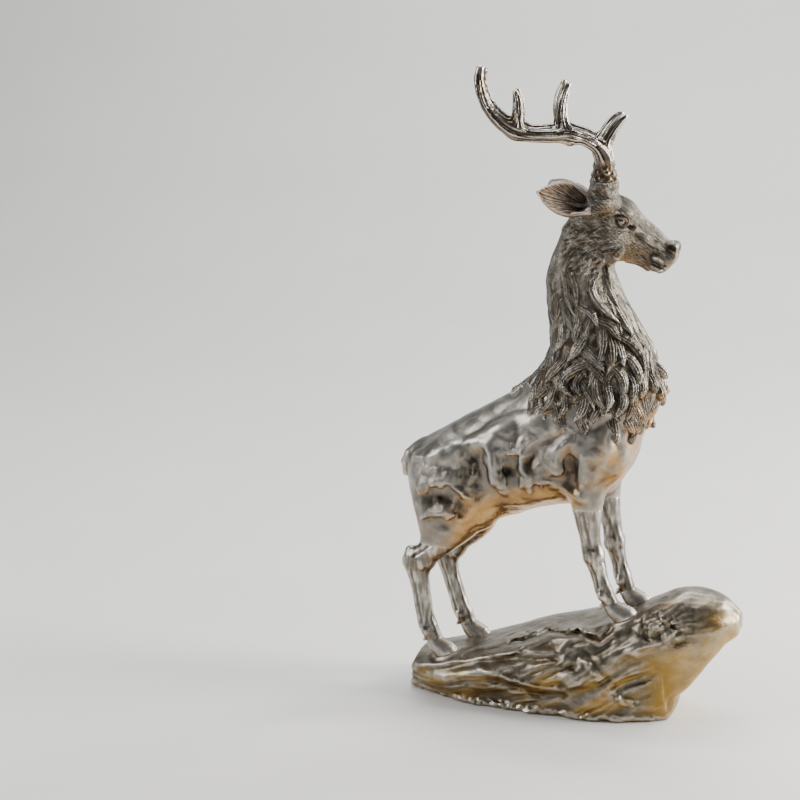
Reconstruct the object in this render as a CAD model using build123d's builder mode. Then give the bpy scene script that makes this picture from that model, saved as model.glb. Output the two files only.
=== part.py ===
from build123d import *
import os
from math import sin, cos, pi, radians, copysign, hypot

# Standing stag on a rock, cast in sections, silvered and patinated.
# Millimetres. +X is the way the stag faces, +Y is its left side, +Z is up.
# The origin lies on the resting plane, under the middle of the stag's back.

# ---------------------------------------------------------------- driving dimensions
HEAD_YAW = 15.0          # head turned to the stag's left
HEAD_X = 25.0            # the vertical line the head turns about
WALL = 6.0               # nominal casting wall
NECK_TILT = 10.4         # slope of the neck joint plane, falling to the front
NECK_Z = 301.0           # height of that plane at HEAD_X
FORE_JOINT_Z = 200.0     # elbow joint plane
HIND_JOINT_Z = 150.0     # gaskin joint plane
TENON_R, TENON_L = 5.0, 13.0
PIN_R = 1.5
STUD_R = 2.0             # M4 hoof studs
ANTLER_STUD_R = 2.5      # M5 antler studs
RUN = 0.03               # radial clearance of every pin, stud and tenon
SEAT_DROP = 14.0         # nut seat below the sole of each hoof
FELT_T, COVER_T = 1.5, 3.0
COVER_SCREW_R = 1.5      # M3 countersunk

# torso cross-sections, square to X: x, centre height, half width, half height
TORSO = [(-155, 220, 5, 7), (-150, 214, 16, 22), (-139, 209, 27, 38), (-115, 213, 34, 50), (-85, 225, 36, 56),
         (-50, 241, 37, 61), (-15, 257, 39, 64), (15, 266, 40, 67), (42, 273, 38, 64), (58, 282, 32, 52),
         (70, 293, 22, 32), (76, 299, 12, 16)]
# neck cross-sections, level: height, back x, front x, half width
NECK = [(270, -30, 66, 29), (291, -40, 79, 37), (303, -38, 86, 39.5), (313, -35, 91, 40), (327, -24, 91, 38.5),
        (342, -17.6, 84.5, 35.5), (361, -17.2, 75.5, 31.5), (379, -19.5, 65, 28.5), (395, -20.5, 54.5, 26),
        (409, -21.5, 48, 24.5), (425, -17.5, 42, 22.5), (438, -12.5, 38, 20), (451, -4.5, 33, 15)]
# head cross-sections, square to the skull's long axis: along, height, half height, half width
HEAD_SLOPE = 31.0
HEAD = [(-26.5, 461, 10, 7), (-20, 460, 20, 13), (-12, 463, 27, 18), (1, 462, 31, 20), (12, 459, 31, 20), (20, 454, 27.5, 18),
        (32, 447.8, 24, 15), (44, 443.1, 19.5, 12.3), (56, 434.3, 15.8, 11), (63.5, 433, 16, 10.8), (70, 432.8, 11.5, 8.5)]
# antler of the right side: along, side, height, radius (side is doubled for the left by its sign)
BEAM = [(5.7, 14.5, 505, 10.5), (5.5, 16, 513, 9.4), (4.8, 18.5, 524, 7.6), (-1.5, 22.5, 534, 6.7), (-13.5, 27.5, 541.5, 6.1),
        (-27, 31.5, 545, 6.5), (-46, 36, 545, 6.3), (-63, 39, 546, 6.3), (-77, 41, 551, 6.5), (-89, 42, 559, 5.6),
        (-98.5, 42, 570, 4.8), (-104.5, 41, 583, 4.1), (-106.3, 39, 595, 3.6), (-104.3, 37.2, 605, 1.8)]
TINES = [
    [(-74, 40.5, 549, 5.4), (-72.5, 40, 562, 5.0), (-72.8, 39, 576, 3.8), (-74.6, 38, 587, 1.6)],
    [(-27, 31, 543, 5.6), (-33, 31, 559, 4.9), (-33.5, 30, 571, 4.1), (-30.5, 28.5, 583, 3.1), (-27.0, 27, 592.5, 1.4)],
    [(4.5, 19, 524, 6.0), (7, 18, 537, 5.4), (12, 16.5, 548, 4.5), (18, 15, 556.5, 3.4), (24.5, 13.3, 562.8, 1.5)],
]
# legs: height, centre x, half length, half width; the last two rows are coronet and sole: x, height, half length, half width, tilt
LEG_Y = {"foreleg_right": -24.0, "foreleg_left": 24.0, "hindleg_right": -23.0, "hindleg_left": 23.0}
LEGS = {
    "foreleg_right": ([(200, 27.6, 14.2, 11.5), (186, 29.2, 11.7, 9.8), (168, 32, 9.9, 8.2), (156, 35, 9.8, 8.6), (143, 38.5, 8.2, 6.8),
                       (130, 43, 7.6, 6.3), (119, 47.5, 8.8, 7.4), (111, 52.0, 7.4, 6.7)],
                      (57.5, 104.5, 10.0, 8.6, 16), (67.5, 98.0, 12.0, 9.6, 26)),
    "foreleg_left": ([(200, 32.5, 14.2, 11.5), (186, 36, 11.6, 9.8), (170, 40.5, 9.6, 8.2), (157, 42.5, 9.7, 8.6), (144, 45.5, 8.0, 6.8),
                      (131, 49.5, 7.5, 6.3), (119, 53, 8.5, 7.4), (110, 57, 7.4, 6.7)],
                     (61.5, 103.0, 10.0, 8.6, 15), (70.8, 96.0, 12.0, 9.6, 23)),
    "hindleg_right": ([(150, -117, 21, 12), (142, -126, 20, 11), (134, -134, 18, 9.8), (124, -138, 14, 8.6), (110, -135.8, 10.2, 7.6),
                       (90, -133, 8.8, 6.8), (72, -129, 8.8, 6.9), (62, -125, 10, 7.8), (53, -120, 8.3, 7.1)],
                      (-115.5, 46.5, 10.6, 8.8, 10), (-108.5, 40.5, 12.4, 9.8, 17)),
    "hindleg_left": ([(150, -103, 21, 12), (142, -112, 20, 11), (134, -120, 17.5, 9.8), (124, -123.5, 13.5, 8.6), (112, -122, 10, 7.6),
                      (92, -115.5, 9, 6.8), (76, -110.5, 9, 6.9), (66, -106.5, 10, 7.8), (57, -101.5, 8.3, 7.1)],
                     (-96.0, 50.5, 10.6, 8.8, 14), (-88.8, 44.8, 12.4, 9.8, 20)),
}
# upper limb masses that stay with the torso: height, centre x, half length, half width, centre side
STUBS = {
    "foreleg_right": [(262, 26, 26, 16, 19), (235, 27, 23.5, 15.5, 21), (215, 27.8, 17.6, 13.4, 23), (200, 27.6, 14.2, 11.5, 24)],
    "foreleg_left": [(262, 28, 26, 16, 19), (235, 29, 23.5, 15.5, 21), (215, 31, 17.6, 13.4, 23), (200, 32.5, 14.2, 11.5, 24)],
    "hindleg_right": [(215, -108, 37, 19, 16), (192, -109, 35.5, 17.5, 19), (168, -113, 28.5, 14.2, 22), (150, -117, 21, 12, 23)],
    "hindleg_left": [(215, -104, 37, 19, 16), (192, -103, 35.5, 17.5, 19), (168, -101, 28.5, 14.2, 22), (150, -103, 21, 12, 23)],
}
STUD_XY = {"foreleg_right": (66.0, -20.5), "foreleg_left": (69.5, 20.5), "hindleg_right": (-109.0, -19.5), "hindleg_left": (-89.5, 20.0)}

# rock: cross-sections square to X, each a closed ring of y, z points, near side first
ROCK = [
    (-143, [(-14, -8), (-18, 8), (-21, 21), (-17, 29), (-6, 33), (8, 34), (24, 33), (35, 27), (39, 16), (36, 2), (33, -8), (8, -10)]),
    (-122, [(-24, -8), (-31, 8), (-37, 22), (-33, 31), (-21, 36.5), (0, 38), (24, 37), (44, 31), (50, 18), (46, 4), (41, -8), (8, -10)]),
    (-92, [(-32, -8), (-40, 10), (-47, 27), (-42, 38), (-26, 46), (0, 47), (26, 45.5), (48, 38), (55, 22), (51, 5), (46, -8), (8, -10)]),
    (-50, [(-36, -8), (-44, 12), (-52, 33), (-46, 47), (-28, 57), (0, 59), (28, 59), (50, 52), (60, 32), (56, 8), (49, -8), (8, -10)]),
    (-10, [(-38, -8), (-46, 14), (-54, 38), (-47, 56), (-29, 69.5), (0, 72), (28, 76), (50, 68), (62, 42), (58, 10), (51, -8), (8, -10)]),
    (30, [(-38, -8), (-46, 16), (-53, 44), (-47, 65), (-29, 82.5), (0, 84), (28, 85), (50, 78), (62, 50), (58, 12), (52, -8), (8, -10)]),
    (66, [(-33, -8), (-43, 18), (-50, 50), (-45, 76), (-28, 96.0), (0, 95), (26, 93.5), (47, 86), (59, 54), (56, 14), (51, -8), (8, -10)]),
    (92, [(-18, -8), (-33, 18), (-43, 50), (-40, 82), (-25, 103), (0, 103), (24, 100), (42, 88), (54, 54), (53, 14), (48, -8), (14, -10)]),
    (106, [(-7, -8), (-24, 16), (-35, 46), (-33, 76), (-20, 95), (2, 96), (24, 92), (40, 80), (50, 50), (49, 14), (45, -8), (17, -10)]),
]
# the overhanging right end, the same way
SPUR = [
    (62, [(-26, 44), (-36, 54), (-42, 68), (-38, 82), (-27, 90), (0, 92), (26, 90), (38, 82), (44, 66), (38, 52), (26, 44), (0, 40)]),
    (92, [(-26, 30), (-38, 44), (-46, 70), (-42, 95), (-26, 111), (0, 115), (24, 110), (42, 95), (52, 68), (44, 44), (30, 32), (2, 26)]),
    (118, [(-16, 26), (-29, 40), (-38, 68), (-36, 96), (-23, 117), (0, 125), (22, 120), (38, 102), (47, 68), (42, 40), (30, 28), (8, 22)]),
    (140, [(-14, 42), (-24, 52), (-31, 74), (-30, 98), (-18, 118), (1, 124), (19, 119), (32, 101), (38, 74), (34, 54), (24, 44), (6, 40)]),
    (156, [(-9, 62), (-17, 69), (-23, 84), (-22, 100), (-12, 114), (2, 119), (16, 114), (25, 101), (28, 85), (25, 70), (18, 62), (5, 58)]),
    (169, [(-3, 86), (-7, 89), (-9, 94), (-8, 101), (-3, 106), (3, 108), (9, 106), (13, 101), (14, 94), (12, 89), (9, 86), (4, 84)]),
]
CAVITY_OUTLINE = [(-128, -8), (-118, -15), (-104, -20), (-86, -25), (-50, -28.5), (0, -30), (40, -29), (66, -24), (84, -10),
                  (97, 8), (98, 32), (84, 41), (40, 43), (0, 42), (-60, 39), (-104, 34), (-126, 24), (-132, 6)]
CAVITY_ROOF = [(-140, -6), (-140, 19), (-118, 25), (-88, 33), (-50, 45), (0, 60), (40, 73), (62, 82), (80, 89), (94, 90), (101, 62), (101, -6)]
SCREW_XY = [(-119.0, 5.0), (-45.0, 28.0), (5.0, -20.5), (85.0, 17.0)]

os.makedirs("parts", exist_ok=True)
yaw = radians(HEAD_YAW)


def ring(hw, hh, n=16, up=1.0, down=1.0):
    """Closed ring of points for a spline, half width along the plane's x, half height along its y."""
    pts = []
    for i in range(n):
        t = 2 * pi * i / n
        x, y = cos(t), sin(t)
        pts.append((hw * x, hh * y * (up if y > 0 else down)))
    return pts


def head_point(along, side, z):
    """Skull coordinates, along to the nose and side to the stag's left, as a point of the model."""
    return Vector(HEAD_X + along * cos(yaw) - side * sin(yaw), along * sin(yaw) + side * cos(yaw), z)


def outward(points, by):
    """The outline moved outwards by a distance, corner by corner."""
    n, res = len(points), []
    for i in range(n):
        (x0, y0), (x1, y1) = points[i - 1], points[(i + 1) % n]
        tx, ty = x1 - x0, y1 - y0
        k = hypot(tx, ty)
        res.append((points[i][0] + by * ty / k, points[i][1] - by * tx / k))
    return res


def tube_planes(rows, left):
    """Planes square to an antler's path, with the radius of each."""
    s = 1.0 if left else -1.0
    pts = [head_point(a, s * side, z) for a, side, z, r in rows]
    res = []
    for i, (p, row) in enumerate(zip(pts, rows)):
        q0, q1 = pts[max(i - 1, 0)], pts[min(i + 1, len(pts) - 1)]
        t = (q1 - q0).normalized()
        x = Vector(-sin(yaw), cos(yaw), 0)
        x = (x - t * x.dot(t)).normalized()
        res.append((Plane(origin=p, x_dir=x, z_dir=t), row[3]))
    return res


def far_side(rows, back):
    """The left antler sits slightly lower towards its tip, as a hand-made pair does."""
    return [(a - back, side, z - 0.07 * max(0.0, -a), r) for a, side, z, r in rows]


neck_plane = Plane(origin=(HEAD_X, 0, NECK_Z), x_dir=(0, 1, 0), z_dir=(sin(radians(NECK_TILT)), 0, cos(radians(NECK_TILT))))
skull_dir = Vector(cos(radians(HEAD_SLOPE)) * cos(yaw), cos(radians(HEAD_SLOPE)) * sin(yaw), -sin(radians(HEAD_SLOPE)))
skull_side = Vector(-sin(yaw), cos(yaw), 0)

# ---------------------------------------------------------------- body mass, before it is divided at the neck
with BuildPart() as body_mass:
    for x, cz, hw, hh in TORSO:
        with BuildSketch(Plane(origin=(x, 0, cz), x_dir=(0, 1, 0), z_dir=(1, 0, 0))):
            with BuildLine():
                Spline(*ring(hw, hh), periodic=True)
            make_face()
    loft()
    for z, xb, xf, hw in NECK:
        turn = yaw * max(0.0, min(1.0, (z - 380) / 60.0))
        cx = (xb + xf) / 2
        with BuildSketch(Plane(origin=(HEAD_X + (cx - HEAD_X) * cos(turn), (cx - HEAD_X) * sin(turn), z),
                               x_dir=(cos(turn), sin(turn), 0), z_dir=(0, 0, 1))):
            with BuildLine():
                Spline(*ring((xf - xb) / 2, hw), periodic=True)
            make_face()
    loft()

# ---------------------------------------------------------------- torso shell
with BuildPart() as torso_shell:
    add(body_mass.part)
    split(bisect_by=neck_plane, keep=Keep.BOTTOM)
    for leg, rows in STUBS.items():
        for z, cx, hl, hw, side in rows:
            with BuildSketch(Plane(origin=(cx, copysign(side, LEG_Y[leg]), z), x_dir=(1, 0, 0), z_dir=(0, 0, 1))):
                with BuildLine():
                    Spline(*ring(hl, hw), periodic=True)
                make_face()
        loft()
    # cored inside, open at the neck
    for x, cz, hw, hh in TORSO[2:-2]:
        with BuildSketch(Plane(origin=(x + (6 if x < -130 else 0), 0, cz), x_dir=(0, 1, 0), z_dir=(1, 0, 0))):
            with BuildLine():
                Spline(*ring(hw - WALL, min(hh - WALL - 1, 53)), periodic=True)
            make_face()
    loft(mode=Mode.SUBTRACT)
    with BuildSketch(neck_plane):
        Ellipse(31.05, 48.05)
    extrude(amount=-16, mode=Mode.SUBTRACT)
    # leg sockets and their cross-pin holes
    for leg, y in LEG_Y.items():
        z = FORE_JOINT_Z if leg.startswith("fore") else HIND_JOINT_Z
        cx = LEGS[leg][0][0][1]
        with Locations((cx, y, z + TENON_L / 2)):
            Cylinder(TENON_R + RUN, TENON_L + 0.4, mode=Mode.SUBTRACT)
        with BuildSketch(Plane(origin=(cx, copysign(42, y), z + 7), x_dir=(1, 0, 0), z_dir=(0, copysign(1, -y), 0))):
            Circle(PIN_R + RUN)
        extrude(amount=27, mode=Mode.SUBTRACT)
    # neck pin holes, 5 below the joint plane
    for turn, reach in ((0, 52), (90, 70), (180, 52), (270, 70)):
        u = neck_plane.x_dir.rotate(Axis((0, 0, 0), tuple(neck_plane.z_dir)), turn)
        with BuildSketch(Plane(origin=neck_plane.origin - neck_plane.z_dir * 5, x_dir=neck_plane.z_dir, z_dir=u)):
            Circle(PIN_R + RUN)
        extrude(amount=reach, mode=Mode.SUBTRACT)
torso_shell.part.label = "torso_shell"

# ---------------------------------------------------------------- neck and head shell
with BuildPart() as neck_head_shell:
    add(body_mass.part)
    split(bisect_by=neck_plane, keep=Keep.TOP)
    for a, z, hh, hw in HEAD:
        with BuildSketch(Plane(origin=head_point(a, 0, z), x_dir=skull_side, z_dir=skull_dir)):
            with BuildLine():
                Spline(*ring(hw, hh), periodic=True)
            make_face()
    loft()
    # pedicles that carry the antlers
    for left in (False, True):
        s = 1.0 if left else -1.0
        p0, p1 = head_point(BEAM[0][0], s * BEAM[0][1], BEAM[0][2]), head_point(BEAM[1][0], s * BEAM[1][1], BEAM[1][2])
        t = (p1 - p0).normalized()
        for down, r in ((26, 13.5), (14, 12.4), (6, 11.2), (0, 10.5)):
            with BuildSketch(Plane(origin=p0 - t * down, x_dir=skull_side, z_dir=t)):
                Circle(r)
        loft()
    # cored inside
    with BuildSketch(neck_plane.offset(-12)):
        Ellipse(27, 44)
    extrude(amount=34, mode=Mode.SUBTRACT)
    for z, xb, xf, hw in NECK[4:11]:
        turn = yaw * max(0.0, min(1.0, (z - 380) / 60.0))
        cx = (xb + xf) / 2
        with BuildSketch(Plane(origin=(HEAD_X + (cx - HEAD_X) * cos(turn), (cx - HEAD_X) * sin(turn), z - 8),
                               x_dir=(cos(turn), sin(turn), 0), z_dir=(0, 0, 1))):
            with BuildLine():
                Spline(*ring((xf - xb) / 2 - WALL - 3, hw - WALL - 1.5), periodic=True)
            make_face()
    loft(mode=Mode.SUBTRACT)
    # collar that drops into the torso
    with BuildSketch(neck_plane.offset(-10)):
        Ellipse(31.0, 48.0)
        Ellipse(27.0, 44.0, mode=Mode.SUBTRACT)
    extrude(amount=12)
    for turn, reach in ((0, 52), (90, 70), (180, 52), (270, 70)):
        u = neck_plane.x_dir.rotate(Axis((0, 0, 0), tuple(neck_plane.z_dir)), turn)
        with BuildSketch(Plane(origin=neck_plane.origin - neck_plane.z_dir * 5, x_dir=neck_plane.z_dir, z_dir=u)):
            Circle(PIN_R + RUN)
        extrude(amount=reach, mode=Mode.SUBTRACT)

neck_head_plain = neck_head_shell.part

# ---------------------------------------------------------------- antlers
antlers = {}
for side_name, left in (("right", False), ("left", True)):
    beam_rows = far_side(BEAM, 0.0) if left else BEAM
    with BuildPart() as antler:
        for plane, r in tube_planes(beam_rows, left):
            with BuildSketch(plane):
                Circle(r)
        loft()
        for k, rows in enumerate(TINES):
            rows = far_side(rows, (0.0, 4.0, 3.0)[k]) if left else rows
            for plane, r in tube_planes(rows, left):
                with BuildSketch(plane):
                    Circle(r)
            loft()
    antlers[side_name] = antler.part

# the joint face of each antler is square to its stud
antler_planes = {}
for side_name, left in (("right", False), ("left", True)):
    s = 1.0 if left else -1.0
    p0, p1 = head_point(BEAM[0][0], s * BEAM[0][1], BEAM[0][2]), head_point(BEAM[1][0], s * BEAM[1][1], BEAM[1][2])
    antler_planes[side_name] = Plane(origin=p0, x_dir=skull_side, z_dir=(p1 - p0).normalized())

with BuildPart() as antler_right:
    add(antlers["right"])
    split(bisect_by=antler_planes["right"], keep=Keep.TOP)
    with BuildSketch(antler_planes["right"]):
        Circle(ANTLER_STUD_R + RUN)
    extrude(amount=13, mode=Mode.SUBTRACT)
antler_right.part.label = "antler_right"

with BuildPart() as antler_left:
    add(antlers["left"])
    split(bisect_by=antler_planes["left"], keep=Keep.TOP)
    with BuildSketch(antler_planes["left"]):
        Circle(ANTLER_STUD_R + RUN)
    extrude(amount=13, mode=Mode.SUBTRACT)
antler_left.part.label = "antler_left"

with BuildPart() as antler_studs:
    for side_name in ("right", "left"):
        with BuildSketch(antler_planes[side_name].offset(-12)):
            Circle(ANTLER_STUD_R)
        extrude(amount=24.5)
    chamfer(antler_studs.edges().filter_by(GeomType.CIRCLE), 0.5)
antler_studs.part.label = "antler_studs"

# ---------------------------------------------------------------- ears
EAR = [(-0.12, 4.5, 4.5), (0.08, 7.5, 5.2), (0.28, 12.2, 5.4), (0.5, 14.6, 4.8), (0.72, 12.2, 3.8), (0.9, 6.6, 2.6), (1.0, 1.8, 1.2)]
ears, ear_frames = {}, {}
for side_name, s in (("right", -1.0), ("left", 1.0)):
    base, tip = head_point(-8, s * 17.5, 478.5), head_point(-54.7, s * 34, 494)
    axis = tip - base
    d = axis.normalized()
    up = Vector(0, 0, 1)
    up = (up - d * up.dot(d)).normalized()
    with BuildPart() as ear:
        for k, hw, ht in EAR:
            with BuildSketch(Plane(origin=base + axis * k, x_dir=up, z_dir=d)):
                with BuildLine():
                    Spline(*ring(hw, ht), periodic=True)
                make_face()
        loft()
        # the scooped inner face
        normal = (d.cross(up) * -s).normalized()
        if normal.dot(skull_side) * s < 0:
            normal = normal * -1
        for k, hw, ht in ((0.22, 6.0, 1.6), (0.34, 9.2, 3.0), (0.52, 11.4, 3.2), (0.7, 9.2, 2.4), (0.84, 5.0, 1.2)):
            with BuildSketch(Plane(origin=base + axis * k + normal * (4.9 if k < 0.6 else 3.9), x_dir=up, z_dir=d)):
                with BuildLine():
                    Spline(*ring(hw, ht), periodic=True)
                make_face()
        loft(mode=Mode.SUBTRACT)
        add(neck_head_plain, mode=Mode.SUBTRACT)
    keep = ear.part.solids().sort_by(SortBy.VOLUME)[-1]
    ears[side_name] = keep
    ear_frames[side_name] = Plane(origin=base + axis * 0.1, x_dir=up, z_dir=d)

with BuildPart() as ear_right:
    add(ears["right"])
    with BuildSketch(ear_frames["right"].offset(-7)):
        Circle(3.0)
    extrude(amount=9)
ear_right.part.label = "ear_right"

with BuildPart() as ear_left:
    add(ears["left"])
    with BuildSketch(ear_frames["left"].offset(-7)):
        Circle(3.0)
    extrude(amount=9)
ear_left.part.label = "ear_left"

# the head, bored for its antler studs and ear tenons
with BuildPart() as neck_head:
    add(neck_head_plain)
    for side_name in ("right", "left"):
        with BuildSketch(antler_planes[side_name]):
            Circle(ANTLER_STUD_R + RUN)
        extrude(amount=-12.5, mode=Mode.SUBTRACT)
        with BuildSketch(ear_frames[side_name].offset(-7.3)):
            Circle(3.0 + RUN)
        extrude(amount=9, mode=Mode.SUBTRACT)
neck_head.part.label = "neck_head_shell"

# ---------------------------------------------------------------- legs
legs = {}
for leg, (rows, coronet, sole) in LEGS.items():
    y = LEG_Y[leg]
    top = rows[0]
    with BuildPart() as limb:
        for z, cx, hl, hw in rows:
            with BuildSketch(Plane(origin=(cx, y, z), x_dir=(1, 0, 0), z_dir=(0, 0, 1))):
                with BuildLine():
                    Spline(*ring(hl, hw), periodic=True)
                make_face()
        for hoof in (False, True):
            for cx, z, hl, hw, tilt in ((coronet, sole) if hoof else (coronet,)):
                t = radians(tilt)
                with BuildSketch(Plane(origin=(cx, y, z), x_dir=(cos(t), 0, sin(t)), z_dir=(-sin(t), 0, cos(t)))):
                    with BuildLine():
                        Spline(*ring(hl, hw), periodic=True)
                    make_face()
            loft()
        with Locations((top[1], y, top[0] + TENON_L / 2 - 1)):
            Cylinder(TENON_R, TENON_L)
        # cross-pin hole through the tenon
        with BuildSketch(Plane(origin=(top[1], copysign(42, y), top[0] + 7), x_dir=(1, 0, 0), z_dir=(0, copysign(1, -y), 0))):
            Circle(PIN_R + RUN)
        extrude(amount=40, mode=Mode.SUBTRACT)
        # stud hole in the sole
        sx, sy = STUD_XY[leg]
        with BuildSketch(Plane.XY.offset(sole[1] - 14)):
            with Locations((sx, sy)):
                Circle(STUD_R + RUN)
        extrude(amount=24, mode=Mode.SUBTRACT)
    legs[leg] = limb.part

for leg in LEGS:
    legs[leg].label = leg

with BuildPart() as leg_pins:
    for leg, y in LEG_Y.items():
        z = (FORE_JOINT_Z if leg.startswith("fore") else HIND_JOINT_Z) + 7
        with BuildSketch(Plane(origin=(LEGS[leg][0][0][1], copysign(34.5 if leg.startswith("fore") else 33.0, y), z),
                               x_dir=(1, 0, 0), z_dir=(0, copysign(1, -y), 0))):
            Circle(PIN_R)
        extrude(amount=19 if leg.startswith("fore") else 17.5)
leg_pins.part.label = "leg_pins"

with BuildPart() as neck_pins:
    for turn, start, reach in ((0, 27.5, 36.0), (90, 44.5, 53.5), (180, 27.5, 36.0), (270, 44.5, 55.0)):
        u = neck_plane.x_dir.rotate(Axis((0, 0, 0), tuple(neck_plane.z_dir)), turn)
        with BuildSketch(Plane(origin=neck_plane.origin - neck_plane.z_dir * 5 + u * start, x_dir=neck_plane.z_dir, z_dir=u)):
            Circle(PIN_R)
        extrude(amount=reach - start)
neck_pins.part.label = "neck_pins"

# ---------------------------------------------------------------- rock base
with BuildPart() as rock_core:
    with BuildSketch(Plane.XY.offset(-6)):
        with BuildLine():
            Spline(*CAVITY_OUTLINE, periodic=True)
        make_face()
    extrude(amount=110)
    with BuildSketch(Plane(origin=(0, 70, 0), x_dir=(1, 0, 0), z_dir=(0, -1, 0))):
        with BuildLine():
            Polyline(*CAVITY_ROOF, close=True)
        make_face()
    extrude(amount=140, mode=Mode.INTERSECT)

with BuildPart() as rock_base:
    for rows in (ROCK, SPUR):
        for x, pts in rows:
            with BuildSketch(Plane(origin=(x, 0, 0), x_dir=(0, 1, 0), z_dir=(1, 0, 0))):
                with BuildLine():
                    Spline(*pts, periodic=True)
                make_face()
        loft()
    split(bisect_by=Plane.XY.offset(FELT_T), keep=Keep.TOP)
    add(rock_core.part, mode=Mode.SUBTRACT)
    # nut seats under each hoof, and posts for the cover screws
    for leg, (rows, coronet, sole) in LEGS.items():
        sx, sy = STUD_XY[leg]
        with Locations((sx, sy, sole[1] - SEAT_DROP + 4)):
            Cylinder(7.0, 8.0)
    for x, y in SCREW_XY:
        roof = [z0 + (z1 - z0) * (x - x0) / (x1 - x0) for (x0, z0), (x1, z1) in zip(CAVITY_ROOF[1:9], CAVITY_ROOF[2:10]) if x0 <= x < x1][0]
        with BuildSketch(Plane.XY.offset(FELT_T + COVER_T + 0.2)):
            with Locations((x, y)):
                Circle(4.5)
        extrude(amount=roof + 3 - (FELT_T + COVER_T + 0.2))
    # recess for the cover
    with BuildSketch(Plane.XY.offset(FELT_T - 1)):
        with BuildLine():
            Spline(*outward(CAVITY_OUTLINE, 3.8), periodic=True)
        make_face()
    extrude(amount=1 + COVER_T + 0.2, mode=Mode.SUBTRACT)
    for leg, (rows, coronet, sole) in LEGS.items():
        sx, sy = STUD_XY[leg]
        cx, z, hl, hw, tilt = sole
        t = radians(tilt)
        # nut access, stud bore, and the flat seat the hoof stands on
        with BuildSketch(Plane.XY.offset(-2)):
            with Locations((sx, sy)):
                Circle(5.5)
        extrude(amount=z - SEAT_DROP + 2, mode=Mode.SUBTRACT)
        with BuildSketch(Plane.XY.offset(0)):
            with Locations((sx, sy)):
                Circle(STUD_R + 0.15)
        extrude(amount=z + 14, mode=Mode.SUBTRACT)
        with BuildSketch(Plane(origin=(cx, LEG_Y[leg], z), x_dir=(cos(t), 0, sin(t)), z_dir=(-sin(t), 0, cos(t)))):
            with BuildLine():
                Spline(*ring(hl + 1.6, hw + 1.6), periodic=True)
            make_face()
        extrude(amount=26, mode=Mode.SUBTRACT)
    for x, y in SCREW_XY:
        with BuildSketch(Plane.XY.offset(0)):
            with Locations((x, y)):
                Circle(COVER_SCREW_R + RUN)
        extrude(amount=FELT_T + COVER_T + 12, mode=Mode.SUBTRACT)
rock_base.part.label = "rock_base"

# ---------------------------------------------------------------- underside
with BuildPart() as base_cover:
    with BuildSketch(Plane.XY.offset(FELT_T)):
        with BuildLine():
            Spline(*outward(CAVITY_OUTLINE, 3.4), periodic=True)
        make_face()
    extrude(amount=COVER_T)
    with Locations(*[Location((x, y, FELT_T), (180, 0, 0)) for x, y in SCREW_XY]):
        CounterSinkHole(radius=1.6, counter_sink_radius=3.1, depth=COVER_T, counter_sink_angle=90)
base_cover.part.label = "base_cover"

with BuildPart() as cover_screws:
    for x, y in SCREW_XY:
        with BuildSketch(Plane(origin=(x, y, FELT_T + 0.05), x_dir=(1, 0, 0), z_dir=(0, -1, 0))):
            with BuildLine():
                Polyline((0, 0), (2.95, 0), (COVER_SCREW_R, 2.95 - COVER_SCREW_R), (COVER_SCREW_R, 13.0), (0, 13.0), close=True)
            make_face()
        revolve(axis=Axis((x, y, 0), (0, 0, 1)))
        with BuildSketch(Plane(origin=(x, y, FELT_T + 0.05))):
            SlotOverall(3.4, 0.8)
        extrude(amount=0.8, mode=Mode.SUBTRACT)
cover_screws.part.label = "cover_screws"

with BuildPart() as felt_pad:
    with BuildSketch(Plane.XY):
        with BuildLine():
            Spline(*outward(CAVITY_OUTLINE, 5.0), periodic=True)
        make_face()
    extrude(amount=FELT_T)
felt_pad.part.label = "felt_pad"

# ---------------------------------------------------------------- hoof fixings
with BuildPart() as hoof_studs:
    for leg, (rows, coronet, sole) in LEGS.items():
        sx, sy = STUD_XY[leg]
        with BuildSketch(Plane.XY.offset(sole[1] - SEAT_DROP - 7)):
            with Locations((sx, sy)):
                Circle(STUD_R)
        extrude(amount=SEAT_DROP + 7 + 9)
hoof_studs.part.label = "hoof_studs"

with BuildPart() as hoof_washers:
    for leg, (rows, coronet, sole) in LEGS.items():
        sx, sy = STUD_XY[leg]
        with BuildSketch(Plane.XY.offset(sole[1] - SEAT_DROP - 0.8)):
            with Locations((sx, sy)):
                Circle(4.5)
                Circle(2.15, mode=Mode.SUBTRACT)
        extrude(amount=0.8)
hoof_washers.part.label = "hoof_washers"

with BuildPart() as hoof_nuts:
    for leg, (rows, coronet, sole) in LEGS.items():
        sx, sy = STUD_XY[leg]
        with BuildSketch(Plane.XY.offset(sole[1] - SEAT_DROP - 4.0)):
            with Locations((sx, sy)):
                RegularPolygon(4.04, 6)
                Circle(STUD_R + RUN, mode=Mode.SUBTRACT)
        extrude(amount=3.2)
hoof_nuts.part.label = "hoof_nuts"

# ---------------------------------------------------------------- one STEP for each piece
export_step(torso_shell.part, "parts/torso_shell.step")
export_step(neck_head.part, "parts/neck_head_shell.step")
export_step(antler_right.part, "parts/antler_right.step")
export_step(antler_left.part, "parts/antler_left.step")
export_step(antler_studs.part, "parts/antler_studs.step")
export_step(ear_right.part, "parts/ear_right.step")
export_step(ear_left.part, "parts/ear_left.step")
for leg, limb in legs.items():
    export_step(limb, f"parts/{leg}.step")
export_step(leg_pins.part, "parts/leg_pins.step")
export_step(neck_pins.part, "parts/neck_pins.step")
export_step(rock_base.part, "parts/rock_base.step")
export_step(base_cover.part, "parts/base_cover.step")
export_step(cover_screws.part, "parts/cover_screws.step")
export_step(felt_pad.part, "parts/felt_pad.step")
export_step(hoof_studs.part, "parts/hoof_studs.step")
export_step(hoof_washers.part, "parts/hoof_washers.step")
export_step(hoof_nuts.part, "parts/hoof_nuts.step")
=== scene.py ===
import math

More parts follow.
